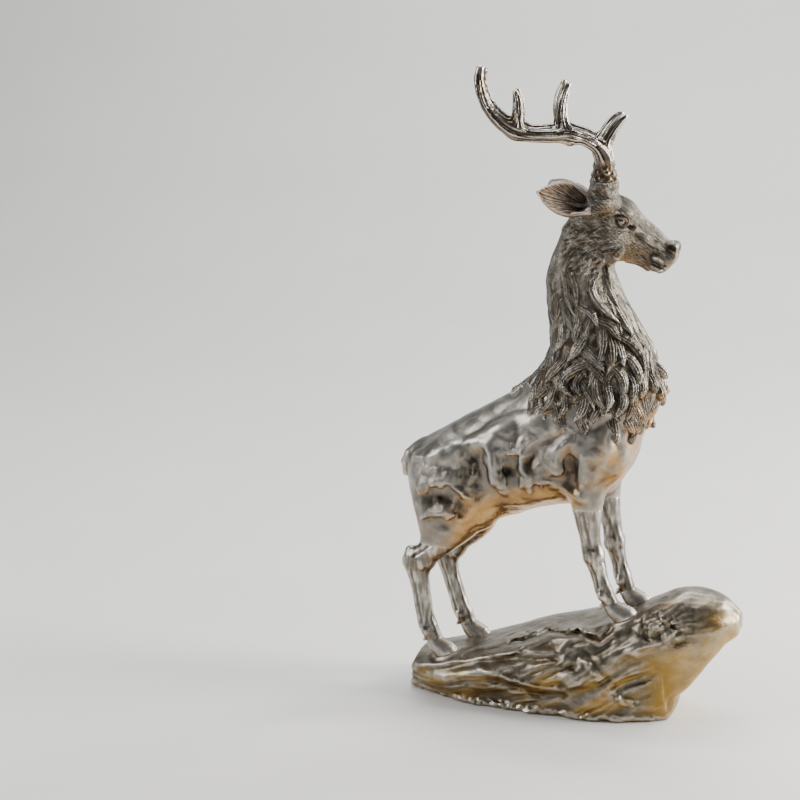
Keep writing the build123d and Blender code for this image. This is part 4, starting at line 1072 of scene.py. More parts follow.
# rock
def ring_curve(pts, n=44):
    p = np.array(pts, float)
    m = len(p)
    q = np.linspace(0, m, n, endpoint=False)
    i = np.floor(q).astype(int)
    t = (q - i)[:, None]
    a, b, c, d = (p[(i + k) % m] for k in (-1, 0, 1, 2))
    return 0.5 * (2 * b + (c - a) * t + (2 * a - 5 * b + 4 * c - d) * t**2 + (3 * b - a - 3 * c + d) * t**3)


def slab(F, rows):
    """A field from closed rings on planes square to X."""
    xs = np.array([r[0] for r in rows], float)
    rings = np.array([ring_curve(r[1]) for r in rows])
    q, v = curve(np.column_stack([xs, rings.reshape(len(xs), -1)]), 260)
    X, Y, Z = F.axes()
    Y2, Z2 = np.broadcast_arrays(Y[0], Z[0])
    out = np.full(F.n, 40.0, np.float32)
    for i, x in enumerate(X[:, 0, 0]):
        if x < xs[0] - 12 or x > xs[-1] + 12:
            continue
        xc = min(max(x, xs[0]), xs[-1])
        k = np.interp(xc, q, np.arange(len(q)))
        k0 = min(int(k), len(q) - 2)
        r = (v[k0] * (1 - (k - k0)) + v[k0 + 1] * (k - k0)).reshape(-1, 2).astype(np.float32)
        d = np.full(Y2.shape, 1e9, np.float32)
        inside = np.zeros(Y2.shape, bool)
        for (y0, z0), (y1, z1) in zip(r, np.roll(r, -1, 0)):
            ey, ez = y1 - y0, z1 - z0
            wy, wz = Y2 - y0, Z2 - z0
            t = np.clip((wy * ey + wz * ez) / (ey * ey + ez * ez + 1e-9), 0, 1)
            d = np.minimum(d, (wy - t * ey) ** 2 + (wz - t * ez) ** 2)
            cond = (z0 > Z2) != (z1 > Z2)
            inside ^= cond & (Y2 < ey * (Z2 - z0) / (ez if abs(ez) > 1e-9 else 1e-9) + y0)
        d = np.sqrt(d)
        s = np.where(inside, -d, d)
        over = abs(x - xc)
        out[i] = np.where(s > 0, np.hypot(s, over), np.maximum(s, over)) if over > 0 else s
    return out


def poly_d(x, z, pts):
    """Distance in the plane to a broken line, and how far along it the nearest point lies, 0 to 1."""
    best = np.full(np.shape(x), 1e9, np.float32)
    along = np.zeros(np.shape(x), np.float32)
    n = len(pts) - 1
    for i, ((x0, z0), (x1, z1)) in enumerate(zip(pts[:-1], pts[1:])):
        ex, ez = x1 - x0, z1 - z0
        t = np.clip(((x - x0) * ex + (z - z0) * ez) / (ex * ex + ez * ez), 0, 1)
        d = np.hypot(x - x0 - t * ex, z - z0 - t * ez)
        m = d < best
        best = np.where(m, d, best)
        along = np.where(m, (i + t) / n, along)
    return best, along


def hump(d, w):
    return np.exp(-(d / w) ** 2)


def make_rock():
    h = 1.22
    F = Field((-148, -60, -2), (176, 70, 134), h)
    a, b = slab(F, ROCK), slab(F, SPUR)
    F.f = smin(a, b, 9)
    F.ball((98, 14, 10), (19, 30, 27), 20)
    # the hollow swept out of the near side below the overhang
    F.ball((97, -60, 44), (36, 24, 27), 18, op="cut")
    X, Y, Z = F.axes()
    G = np.interp(X, [-150, -110, -60, -10, 40, 80, 120, 170], [0, 6, 20, 42, 70, 96, 118, 128]).astype(np.float32)
    m = np.abs(F.f) < 9
    xs, ys, zs = (np.broadcast_to(v, F.f.shape)[m] for v in (X, Y, Z))
    g = np.broadcast_to(G, F.f.shape)[m]
    c = zs - g                                     # height measured across the flow of the stone
    sx, sz = xs + 0.3585 * (ys + 44), zs + 0.2632 * (ys + 44)
    wx = 9 * noise(xs / 50, ys / 40, zs / 40, seed=31)
    wz = 7 * noise(xs / 30, ys / 28, zs / 24, seed=33)
    under = sstep(84, 112, xs) * sstep(-4, 18, 92 - zs + (xs - 120) * 0.40)      # polished hollow below the overhang
    near = sstep(8, -20, ys)
    top = sstep(-8, 10, ys) * sstep(30, 55, zs)
    swell = noise((xs + wx) / 52, ys / 46, (c + wz) / 17, seed=34)
    where = sstep(-0.28, 0.25, noise(xs / 38, ys / 30, zs / 26, seed=36))
    bed = 1 - np.abs(noise((xs + wx) / 60, ys / 50, (c + wz) / 9.0, seed=35)) * 2.6
    bed2 = 1 - np.abs(noise((xs + wx) / 26, ys / 24, (c + wz * 0.6) / 4.2, seed=37)) * 2.4
    lumps = fbm(xs / 15, ys / 15, zs / 13, 3, seed=41)
    cragz = sstep(22, 8, np.hypot((sx - 106) / 1.45, sz - 98)) * sstep(22, 0, ys)
    crag = np.maximum(cragz, 0.55 * sstep(0.10, 0.4, noise(xs / 20, ys / 18, zs / 16, seed=43)))
    broad = noise(xs / 46, ys / 34, zs / 34, seed=45)
    amp = 1 - 0.93 * under
    side = 1 - 0.55 * sstep(0, 40, ys)
    d = 2.4 * broad * amp + 5.4 * swell * amp * (0.4 + 0.6 * near)
    d += (1.9 * bed * where + 0.9 * bed2 * where - 0.9) * amp * (0.35 + 0.65 * near) * side + 2.6 * lumps * (0.22 + 0.78 * crag) * amp
    pits = np.abs(fbm(xs / 7.5, ys / 7.5, zs / 7.0, 2, seed=44))
    d += cragz * (1.6 - 4.0 * np.clip(0.40 - pits * 1.5, 0, 1) + 5.0 * noise(xs / 11, ys / 11, zs / 10, seed=46)) * amp
    d += 1.1 * noise(xs / 34, ys / 6, zs / 44, seed=47) * under
    # the underside draws in like the back of a wave
    s = np.clip(((xs - 122) * 0.62 + (zs - 21) * 0.785) / 76, 0, 1)
    d -= 4.2 * np.sin(math.pi * s) * sstep(100, 118, xs) * sstep(10, -12, (zs - 21) - (xs - 122) * 1.27)
    # the edge of the top, the long crevice, the crusted diagonal rib, and the two dark pits
    e, u = poly_d(sx, sz, [(-130, 32), (-106, 38), (-82, 44.4), (-52, 54), (-29, 60), (2, 63)])
    d += 2.0 * hump(e, 3.2) * near - 1.6 * hump(poly_d(sx, sz + 6.5, [(-128, 32), (-82, 44.4), (-29, 60), (-6, 62)])[0], 3.6) * near
    e, u = poly_d(sx + 2 * noise(xs / 9, ys / 9, zs / 9, seed=57), sz + 1.6 * noise(xs / 6, ys / 6, zs / 6, seed=58), [(-47, 61), (-21, 70), (2, 79), (29, 84.5), (48, 81), (66, 97), (83, 109)])
    d += (1.5 * hump(e - 4.0, 2.4) - 2.2 * hump(e, 1.8)) * sstep(0, 0.10, u) * sstep(-0.25, 0.1, noise(xs / 13, ys / 13, zs / 13, seed=56) + 0.1)
    e, u = poly_d(sx + 3 * noise(xs / 7, ys / 7, zs / 7, seed=51), sz + 3 * noise(xs / 6, ys / 6, zs / 6, seed=52), [(15.7, 69), (29, 66), (41, 49), (55, 38), (66, 25), (84, 21)])
    rib = hump(e, 4.6) * near
    d += rib * (1.5 + 3.4 * noise(xs / 5.5, ys / 5.5, zs / 5.5, seed=53)) * sstep(-0.3, 0.2, noise(xs / 16, ys / 16, zs / 16, seed=50)) - 1.0 * hump(poly_d(sx - 7, sz - 2, [(15.7, 69), (29, 66), (41, 49), (55, 38), (66, 25)])[0], 3.0) * near
    e, u = poly_d(sx, sz + 1.5 * noise(xs / 10, ys / 10, zs / 10, seed=54), [(-70, 38), (-34, 31), (-9, 26.5), (10, 28.6), (28, 36)])
    d += (2.6 * hump(e, 3.2) - 2.4 * hump(poly_d(sx, sz + 7, [(-60, 36), (-34, 31), (-9, 26.5), (14, 29)])[0], 3.4)) * near
    for px, pz, r in ((4.3, 57.6, 4.2), (21.8, 51, 4.0), (10.6, 31.5, 4.4), (93, 88, 3.4), (118, 101, 3.6)):
        d -= 3.6 * hump(np.hypot((sx - px) / 1.25, sz - pz), r) * near
    d += 3.0 * hump(np.hypot(sx - 80, sz - 71), 6) * near
    # crust along the foot
    lip = sstep(9.5, 4.0, zs + 4.0 * noise(xs / 8, ys / 8, zs / 8, seed=59)) * (1 - sstep(96, 108, xs))
    d += lip * (2.2 + 3.4 * noise(xs / 5, ys / 5, zs / 5, seed=55))
    # keep the ground under the hooves
    flat = np.zeros_like(xs)
    for leg, (cx, cz, tilt) in SOLES.items():
        r = np.hypot((xs - cx - 1) / 17, (ys - LEG_Y[leg]) / 13)
        flat = np.maximum(flat, sstep(1.35, 0.85, r) * (zs > cz - 16))
    d = d * (1 - 0.85 * flat)
    F.f[m] -= d.astype(np.float32)
    # the back of the wave: everything beyond this slope is gone
    SX, SZ = X + 0.3585 * (Y + 44), Z + 0.2632 * (Y + 44)
    slope = [(110, 10), (117, 18), (125, 26), (134, 37), (143, 52), (154, 68), (167, 84), (175, 96)]
    edge = np.interp(SZ, [p[1] for p in slope], [p[0] for p in slope])
    out = (SX - edge) * 0.76 + 1.2 * noise(SX / 30, SZ / 30 + 0 * Y, Y / 22 + 0 * X, seed=48)
    out = np.where(SZ < 104, out - 9 * (1 - sstep(2, 26, Z)) - 10 * sstep(86, 104, SZ), -60).astype(np.float32)
    F.f = smax(F.f, out, 5.0).astype(np.float32)
    for leg, (cx, cz, tilt) in SOLES.items():
        a = math.radians(tilt)
        y = LEG_Y[leg]

        def seat(X, Y, Z):
            u = (X - cx) * math.cos(a) + (Z - cz) * math.sin(a)
            n = -(X - cx) * math.sin(a) + (Z - cz) * math.cos(a)
            return np.maximum(ell2(u + 0.5, Y - y, 13.8, 11.4), np.maximum(-n, n - 26))
        F.put(seat, (cx - 22, y - 16, cz - 8), (cx + 22, y + 16, cz + 30), 2.0, op="cut")
        # a low pad so each hoof stands on stone

        def pad(X, Y, Z):
            u = (X - cx) * math.cos(a) + (Z - cz) * math.sin(a)
            n = -(X - cx) * math.sin(a) + (Z - cz) * math.cos(a)
            return smax(ell2(u + 0.5, Y - y, 13.0, 10.6), np.maximum(n + 0.1, -n - 9), 1.5)
        F.put(pad, (cx - 22, y - 16, cz - 16), (cx + 22, y + 16, cz + 8), 5.0)
    F.f = np.maximum(F.f, (1.5 - Z + 0 * X + 0 * Y).astype(np.float32))
    pts, quads = surface(F)
    x, y, z = pts.T
    sx, sz = x + 0.3585 * (y + 44), z + 0.2632 * (y + 44)
    under = sstep(80, 108, x) * sstep(-8, 16, 88 - z + (x - 120) * 0.40)
    streak = noise(x / 34, y / 6, z / 44, seed=47)
    # golden: a painted golden reflection in the downward-facing hollow under the overhang and along the undercut foot
    # of the near side, and a copper patch at the right end
    gold_and_painted_reflection = under * np.clip(0.75 + 0.7 * streak, 0.2, 1)
    gold_and_painted_reflection = np.maximum(gold_and_painted_reflection, 0.75 * sstep(-0.15, 0.35, noise(x / 34, y / 24, (z - np.interp(x, [-150, -60, 40, 120], [0, 20, 70, 118])) / 10, seed=63)) * sstep(0, -30, y) * sstep(62, 34, z - 0.1 * x))
    gold_and_painted_reflection = np.maximum(gold_and_painted_reflection, 0.9 * hump(np.hypot(sx - 157, sz - 108), 13) * sstep(40, 10, y))
    rib = hump(poly_d(sx, sz, [(15.7, 69), (29, 66), (41, 49), (55, 38), (66, 25), (84, 21)])[0], 5.5) * sstep(0, -16, y)
    lip = sstep(9, 4, z)
    # tone: random tone, the light crust along the foot, the rib, painted shade in the near-side hollow below the
    # overhang, lighter towards the right end of the undercut, and lighter on the far side
    tone_and_painted_light = 0.30 * fbm(x / 26, y / 18, z / 9, 2, seed=65) + 0.5 * lip + 0.12 * rib - 0.25 * sstep(60, 95, sx) * sstep(70, 40, sz) * sstep(0, -20, y) * (1 - sstep(110, 126, sx)) + 0.25 * sstep(112, 130, sx) * under + 0.15 * sstep(0, 20, y)
    n = len(pts)
    return finish_piece("rock", pts, quads, M_ROCK, ["rock_base"], steps=(5, 45),
                        extra={"gold_and_painted_reflection": np.clip(gold_and_painted_reflection * (1 - 0.2 * rib) * (1 - 0.8 * lip), 0, 1), "tone_and_painted_light": tone_and_painted_light, "polish": 0.8 * under, "hair": np.zeros(n)})


make_rock()


# torso
def surf(x, z, s, up=0.0, y=45.0):
    """The point on the right (s -1) or left flank at x and z, raised by up."""
    p = coarse.project(np.array([[x, s * y, z]], float), 0.0, 8)
    return p[0] + coarse.grad(p, 2.0)[0] * up


def flank_relief(F, s, rng):
    """Folds, sunk pockets and lips modelled into the flank, as if the wax had been pushed about by hand."""
    j = (lambda: rng.uniform(-2.5, 2.5)) if s > 0 else (lambda: 0.0)

    def ridge(line, r, up, k):
        F.tube([(*surf(x + j(), z + j(), s, up), rr) for (x, z), rr in zip(line, r if np.ndim(r) else [r] * len(line))], k)

    def dent(x, z, up, r, k, tilt=0.0):
        c = surf(x + j(), z + j(), s, up)
        rt = rot_y(tilt)
        F.put(lambda X, Y, Z: ellipsoid(*warped(X, Y, Z, 1.8), c, r, rt), c - max(r) - 4, c + max(r) + 4, k, op="cut")

    def lump(x, z, up, r, k, tilt=0.0):
        F.ball(surf(x + j(), z + j(), s, up), r, k, rot_y(tilt))
    ridge([(-112, 248), (-78, 270), (-57, 282), (-37, 292)], (2.5, 4.0, 4.0, 2.5), -2.4, 8)
    ridge([(-101, 256), (-93, 241), (-89, 222), (-86, 204)], (4.5, 5.5, 5.0, 3.5), -1.9, 8)
    ridge([(-90, 244), (-86, 254), (-77, 262), (-67, 259), (-61, 245), (-56, 227), (-50, 211)], (3.5, 4.6, 5.2, 5.4, 5.4, 5.2, 3.0), -1.7, 7)
    dent(-79, 230, 6.0, (13, 8.5, 26), 9, 10)
    ridge([(-88, 243), (-82, 236), (-81, 226), (-84, 216)], (2.0, 3.0, 3.4, 2.2), -4.2, 6)
    dent(-43, 236, 6.3, (9.5, 8.5, 16), 9, 16)
    dent(14.5, 239, 6.6, (10.0, 10.0, 22), 8, 4)
    ridge([(-6, 224), (4, 215), (14, 211), (25, 214)], (2.0, 3.0, 3.2, 2.4), -2.2, 7)
    ridge([(36, 272), (32, 255), (29, 238), (27, 214)], (3.5, 5.0, 5.0, 3.0), -2.2, 8)
    ridge([(52, 280), (50, 262), (44, 244), (38, 226)], (3.0, 4.5, 4.5, 3.0), -2.6, 8)
    dent(-91, 193, 5.2, (8.0, 6.5, 10.0), 8)
    dent(-20, 251, 5.0, (5.0, 6.5, 13), 6, -24)
    dent(-112, 202, 5.2, (19, 6.5, 9.0), 8, 6)
    dent(-111, 175, 5.4, (16, 6.4, 7.0), 7, 4)
    dent(-1, 268, 4.9, (15, 6.2, 5.0), 6, 36)
    lump(-55, 272, -3.0, (15, 7, 10), 8, 30)
    lump(-24, 280, -3.5, (14, 7, 12), 8, 20)
    lump(-112, 244, -3.2, (13, 7, 10), 8, 25)
    lump(44, 262, -3.0, (9, 7, 16), 7, -10)


def make_torso():
    h = 1.0
    F = Field((-170, -48, 146), (92, 48, 336), h)
    body_mass(F)
    rng = np.random.default_rng(17)
    add_locks(F, flank_locks, k=3.2, groove=0.0, warp=2.6)
    for s in (-1, 1):
        flank_relief(F, s, rng)
    X, Y, Z = F.axes()
    m = np.abs(F.f) < 5
    xs, ys, zs = (np.broadcast_to(v, F.f.shape)[m] for v in (X, Y, Z))
    # planes as if hammered out of the wax, softer along the back, and nothing where a leg joins
    quiet = np.where(xs > -35, sstep(201, 214, zs) + (xs < 6), sstep(151, 163, zs)).clip(0, 1)
    planes = np.abs(noise(xs / 22, ys / 19, zs / 20, seed=71)) * 2.0
    F.f[m] -= ((1.0 * planes - 0.4 + 0.5 * noise(xs / 9, ys / 9, zs / 9, seed=73) * sstep(300, 230, zs) + 0.16 * fbm(xs / 4, ys / 4, zs / 4, 2, seed=76)) * quiet).astype(np.float32)
    d = (X - NPO[0]) * NPN[0] + (Z - NPO[2]) * NPN[2] + 0 * Y
    F.f = np.maximum(F.f, (d + 0.04).astype(np.float32))
    for leg, y in LEG_Y.items():
        fore = leg.startswith("fore")
        jz = JOINT_Z[leg[:4]]
        sel = (Y * y > 0) & ((X > 8) if fore else (X < -70)) & (Z < jz + 3)
        F.f = np.where(sel, np.maximum(F.f, (jz + 0.02 - Z + 0 * X + 0 * Y)), F.f).astype(np.float32)
    pts, quads = surface(F)
    x, y, z = pts.T
    side = np.where(np.abs(y) > 6, 1.0, 0.4)
    # the belly, turned down, gets a painted golden reflection and is painted lighter; it is also made smoother
    belly = sstep(228, 203, z - 0.16 * x - 2) * sstep(-112, -84, x) * sstep(30, 10, x)
    chest = sstep(34, 48, x) * sstep(304, 270, z) * sstep(214, 238, z)
    gold_and_painted_reflection = np.clip(0.95 * belly + 0.60 * chest * sstep(-0.35, 0.25, noise(x / 12, y / 12, z / 16, seed=75)), 0, 1)
    flow = np.column_stack([y * 0.5 + z * 0.35, x * 0.05, z * 0.08])
    # painted highlight: the top of the body is painted lighter
    top = sstep(225, 290, z - 0.35 * x)
    lf, on, rnd = lock_coords(pts, flank_locks, flow)
    # the sunk hollows are painted dark, a painted dark reflection, and are made smoother
    painted_dark_hollow = np.zeros(len(pts))
    for px, pz, rx, rz in ((-79, 229, 9, 19), (-43, 234, 7.5, 12), (14.5, 238, 8, 18), (-91, 193, 6, 8), (-112, 200, 17, 7), (-24, 244, 5, 10)):
        painted_dark_hollow = np.maximum(painted_dark_hollow, np.exp(-((x - px) / rx) ** 2 - ((z - pz) / rz) ** 2))
    c1, c2 = cavity(pts, quads, (10, 80))
    painted_dark_hollow = painted_dark_hollow * np.clip(0.85 + 0.55 * noise(x / 7, y / 9, z / 10, seed=78), 0.3, 1.15)
    # tone: a painted highlight along the top, the painted lighter belly, the painted dark reflection in the hollows and
    # painted shade lower down the flank, besides random tone of the drapes and lighter broad proud relief
    extra = {"gold_and_painted_reflection": gold_and_painted_reflection * np.clip(1 - painted_dark_hollow, 0, 1), "polish": np.clip(0.5 * belly + 0.9 * painted_dark_hollow, 0, 1), "hair": 0.45 * on * (1 - painted_dark_hollow),
             "tone_and_painted_light": 0.25 * top - 0.30 * on * (rnd - 0.2) + 0.2 * belly - 1.7 * painted_dark_hollow - 0.26 * sstep(262, 226, z - 0.25 * x) + 0.12 * c2}
    return finish_piece("stag_torso", pts, quads, M_BODY, ["torso_shell"], locks=flank_locks, flow=flow, extra=extra)


# head and neck share one body, divided behind the jaw into two meshes of the same casting
SPLIT_P = np.array(head_pt(-8, 0, 441.0))
SPLIT_N = np.array([0.50 * CY, 0.50 * SY, 0.866])
SPLIT_N /= np.linalg.norm(SPLIT_N)


def make_head():
    h = 0.85 if False else 0.56
    F = Field((-12, -34, 412), (112, 50, 508), h)
    body_mass(F)
    head_mass(F)
    add_locks(F, mane_locks, k=0.5, groove=0.27)
    add_locks(F, head_locks, k=0.45, groove=0.35)
    d = (F.axes()[0] - SPLIT_P[0]) * SPLIT_N[0] + (F.axes()[1] - SPLIT_P[1]) * SPLIT_N[1] + (F.axes()[2] - SPLIT_P[2]) * SPLIT_N[2]
    F.f = F.f + (0.12 * sstep(0.6, -0.2, d)).astype(np.float32)
    F.f = np.maximum(F.f, (-d - 1.2).astype(np.float32))
    for left in (False, True):
        s = 1.0 if left else -1.0
        p0, p1 = np.array(head_pt(5.7, s * 14.5, 505)), np.array(head_pt(5.5, s * 16, 513))
        n = (p1 - p0) / np.linalg.norm(p1 - p0)
        X, Y, Z = F.axes()
        e = (X - p0[0]) * n[0] + (Y - p0[1]) * n[1] + (Z - p0[2]) * n[2]
        near = ((X - p0[0]) ** 2 + (Y - p0[1]) ** 2 < 15 ** 2) & (Z > 495)
        F.f = np.where(near, np.maximum(F.f, e + 0.03), F.f).astype(np.float32)
    pts, quads = surface(F)
    nm = normals(pts, quads)
    x, y, z = pts.T
    t, v, lat = skull_coords(x, y, z)
    eye = sstep(7.5, 5.2, np.linalg.norm((pts - np.array([head_pt(21, s * 15.5, 467.4) for s in (-1, 1)])[(lat > 0).astype(int)]), axis=1))
    ball = sstep(4.95, 4.75, np.linalg.norm((pts - np.array([head_pt(21, s * 14.9, 467.4) for s in (-1, 1)])[(lat > 0).astype(int)]), axis=1))
    muzzle = sstep(60, 70, t) * sstep(-6, 6, v)
    fl = np.column_stack([np.stack([v * 0.9 + 0.10 * t, lat * 0.9], 1), t * 0.13])
    fur = noise(fl[:, 0] * 0.62, fl[:, 1] * 0.62, fl[:, 2] * 1.0, seed=83) + 0.6 * noise(fl[:, 0] * 1.1, fl[:, 1] * 1.1, fl[:, 2] * 1.5, seed=85)
    ped = sstep(490, 497, z)
    lump = fbm(x / 5, y / 5, z / 5, 2, seed=87)
    edge = sstep(0.2, 5.0, (pts - SPLIT_P) @ SPLIT_N)
    pts = pts + nm * (0.50 * fur * edge * (1 - eye) * (1 - 0.8 * muzzle) * (1 - ped) + 1.1 * lump * ped * sstep(504.4, 501, z))[:, None]
    fine, on, rnd = lock_coords(pts, head_locks, fl * np.array([1.5, 1.5, 1.0]))
    nostril = np.exp(-((np.linalg.norm(pts - np.array([head_pt(66.5, s * 9.8, 442.4) for s in (-1, 1)])[(lat > 0).astype(int)], axis=1) / 4.2) ** 2))
    nose = sstep(0.2, 0.6, np.exp(-(((pts - np.array(head_pt(73, 0, 443))) / 6.0) ** 2).sum(1)))
    # painted highlight on the faces of the head that turn upward, from the eyes forward; the eyeball is painted lighter
    # for its highlight and is polished; the underside of the jaw and muzzle gets a painted golden reflection
    extra = {"hair": (1 - eye) * (1 - muzzle * 0.8), "tone_and_painted_light": -0.16 * eye + 0.30 * ball + 0.35 * sstep(0.2, 0.9, nm[:, 2]) * sstep(10, 40, t) - 0.4 * nose + (rnd - 0.5) * 0.5 * on - 0.9 * nostril,
             "polish": 1.0 * ball + 0.4 * muzzle, "gold_and_painted_reflection": 0.45 * sstep(-6, -14, v) * sstep(20, 35, t)}
    finish_piece("stag_head", pts, quads, M_HEAD, ["neck_head_shell"], locks=head_locks, flow=fl * np.array([1.5, 1.5, 1.0]), extra=extra, steps=(4, 34))


def make_neck():
    h = 1.2 if False else 0.78
    F = Field((-52, -52, 258), (108, 52, 478), h)
    body_mass(F)
    head_mass(F)
    d = (F.axes()[0] - NPO[0]) * NPN[0] + (F.axes()[2] - NPO[2]) * NPN[2] + 0 * F.axes()[1]
    F.f = np.maximum(F.f, (-d + 0.04).astype(np.float32))
    add_locks(F, mane_locks, k=0.5, groove=0.27)
    add_locks(F, head_locks, k=0.45, groove=0.35)
    X, Y, Z = F.axes()
    d = (X - SPLIT_P[0]) * SPLIT_N[0] + (Y - SPLIT_P[1]) * SPLIT_N[1] + (Z - SPLIT_P[2]) * SPLIT_N[2]
    F.f = np.maximum(F.f, d.astype(np.float32))
    pts, quads = surface(F)
    nm = normals(pts, quads)
    x, y, z = pts.T
    cx, cy, hl, hw, tt = neck_frame(z)
    th = np.arctan2((y - cy) / hw, (x - cx) / hl)
    fl = np.column_stack([th * 34, z * 0.10, th * 0])
    front = sstep(0.5, 0.95, np.cos(th)) * sstep(330, 300, z)
    # painted golden reflection on faces that turn downward, and a golden tint on the lower front of the neck
    extra = {"gold_and_painted_reflection": 0.7 * front * sstep(-0.2, 0.4, noise(x / 12, y / 12, z / 12, seed=91)) + 0.25 * sstep(-0.2, -0.7, nm[:, 2])}
    fine, on, rnd = lock_coords(pts, mane_locks, fl)
    extra["hair"] = 0.7 + 0.3 * on
    extra["tone_and_painted_light"] = (rnd - 0.5) * 0.5 * on - 0.5 * (1 - on) * sstep(400, 370, z) - 0.15 * (1 - on)
    finish_piece("stag_neck", pts, quads, M_HAIR, ["neck_head_shell"], locks=mane_locks, flow=fl, extra=extra, steps=(4, 30))


rng = np.random.default_rng(5)


def neck_pt(theta, z):
    cx, cy, hl, hw, t = neck_frame(np.array(z, float))
    u, v = hl * np.cos(theta), hw * np.sin(theta)
    return np.stack([cx + u * np.cos(t) - v * np.sin(t), cy + u * np.sin(t) + v * np.cos(t), np.array(z, float)], -1)


# mane: short engraved hair at the throat, growing down the neck into heavy curls with a ragged fringe over the shoulders
mane_locks = []
rows = [(440, 20, 1.8, 0.9, 26), (431, 22, 1.9, 1.0, 26), (422, 24, 2.1, 1.1, 25), (412, 27, 2.4, 1.3, 24), (402, 29, 2.8, 1.5, 23), (392, 31, 3.2, 1.8, 21), (381, 33, 3.7, 2.2, 19),
        (369, 35, 4.3, 2.8, 18), (357, 36, 4.9, 3.3, 17), (345, 36, 5.4, 3.8, 17), (333, 35, 5.8, 4.2, 17), (322, 33, 6.0, 4.4, 17), (312, 30, 6.0, 4.4, 17)]
for k, (z, ln, w, hh, count) in enumerate(rows):
    th = (np.arange(count) + 0.5 * (k % 2) + rng.uniform(-0.35, 0.35, count)) / count * 2 * math.pi
    zz = z + rng.uniform(-5.5, 5.5, count) - (6 * np.cos(th) if k > 8 else 0)
    P = neck_pt(th, zz)
    swirl = noise(th * 1.3 + 3, zz / 26, th * 0, seed=95) * (1.0 if k < 6 else 1.7)
    slant = 0.30 * np.cos(th) + swirl + rng.uniform(-0.3, 0.3, count)
    D = np.stack([slant, 0.25 * np.sin(th) + 0 * th, -np.ones(count)], -1)
    big = rng.uniform(0.70, 1.25, count)
    mane_locks += lay_locks(coarse, P, D, ln * rng.uniform(0.85, 1.3, count), w * big, hh * rng.uniform(0.75, 1.1, count), rng.uniform(0.1, 0.55, count) * (0.6 if k < 6 else 1.0),
                            rng.uniform(0.9, 2.6, count) * rng.choice([-1, 1], count), rng, steps=11, root=0.55, blunt=0.42 if k < 6 else 0.50)
for z, ln, w, hh, lo, hi, count in ((303, 26, 5.6, 4.2, -2.5, -0.35, 8), (295, 25, 5.6, 4.2, -2.1, -0.6, 6), (303, 26, 5.6, 4.2, 0.35, 2.5, 8), (295, 25, 5.6, 4.2, 0.6, 2.1, 6), (298, 22, 5.2, 4.0, -0.5, 0.5, 4)):
    th = np.linspace(lo, hi, count) + rng.uniform(-0.12, 0.12, count)
    P = neck_pt(th, z + rng.uniform(-4, 4, count) - 5 * np.cos(th))
    D = np.stack([0.2 * np.cos(th) + rng.uniform(-0.5, 0.35, count), 0 * th, -np.ones(count)], -1)
    mane_locks += lay_locks(coarse, P, D, ln * rng.uniform(0.75, 1.15, count), w * rng.uniform(0.75, 1.15, count), hh, rng.uniform(0.3, 0.6, count), rng.uniform(0.9, 2.6, count) * rng.choice([-1, 1], count), rng, steps=11, root=0.6, blunt=0.5)
# the leading curls, placed one by one
CURLS = [([(27, 372), (21, 361), (16, 351), (8, 340)], 5.6, 5.0), ([(41, 372), (43, 360), (42, 350), (38, 340)], 4.6, 4.2), ([(47, 371), (50, 360), (51, 348), (50, 338)], 5.0, 4.6), ([(54, 368), (58, 358), (60, 348), (62, 340)], 4.8, 4.4),
         ([(40, 372), (52, 371), (66, 368), (78, 362), (87, 350), (86, 337)], 5.2, 5.6), ([(46, 356), (58, 352), (71, 349), (79, 339), (79, 322)], 5.6, 5.4), ([(40, 345), (29, 340), (17, 333), (8, 324), (9, 314), (17, 310)], 6.0, 6.0),
         ([(30, 338), (22, 328), (20, 318), (26, 310)], 4.4, 4.6), ([(40, 350), (48, 341), (58, 333), (62, 318), (58, 309)], 5.2, 5.0), ([(40, 336), (37, 324), (38, 312), (45, 299)], 5.6, 5.2), ([(48, 332), (47, 320), (49, 308), (46, 298)], 4.6, 4.6),
         ([(52, 328), (60, 318), (62, 307), (54, 293)], 5.6, 5.2), ([(10, 350), (3, 341), (-5, 331), (-16, 320)], 5.2, 4.6), ([(-2, 345), (-9, 336), (-20, 327)], 4.4, 3.8), ([(4, 326), (-2, 316), (-3, 304), (-9, 292)], 5.2, 4.6),
         ([(-8, 322), (-14, 312), (-22, 304)], 4.8, 4.0), ([(27, 322), (28, 311), (26, 299), (18, 287)], 6.0, 5.0), ([(14, 322), (9, 311), (11, 299), (5, 288)], 5.0, 4.6), ([(40, 432), (37, 421), (29, 408), (36, 395), (58, 380)], 3.6, 2.8),
         ([(40, 430), (45, 420), (53, 412), (65, 397)], 3.6, 2.8), ([(44, 432), (52, 420), (58, 408)], 3.0, 2.4), ([(-8, 436), (-4, 426), (2, 414), (5, 396), (14, 380)], 3.2, 2.4), ([(-2, 432), (8, 418), (13, 402), (15, 388)], 2.8, 2.2),
         ([(8, 398), (18, 390), (28, 385), (35, 373)], 3.8, 2.8), ([(14, 386), (17, 376), (15, 365), (18, 354)], 4.4, 3.6), ([(24, 386), (33, 380), (47, 375), (56, 362)], 4.6, 3.8), ([(56, 404), (63, 395), (68, 384), (76, 371)], 4.0, 3.2),
         ([(64, 384), (71, 374), (79, 361), (85, 344)], 4.6, 4.0), ([(-12, 410), (-9, 398), (-8, 386), (-13, 372)], 3.6, 2.4), ([(-4, 382), (-4, 371), (-2, 360), (-10, 346)], 4.6, 3.4), ([(66, 330), (70, 318), (73, 305), (66, 290)], 5.6, 4.8),
         ([(78, 345), (84, 335), (86, 322), (82, 306)], 5.4, 4.8), ([(62, 340), (70, 330), (73, 318), (70, 306)], 5.0, 4.6)]
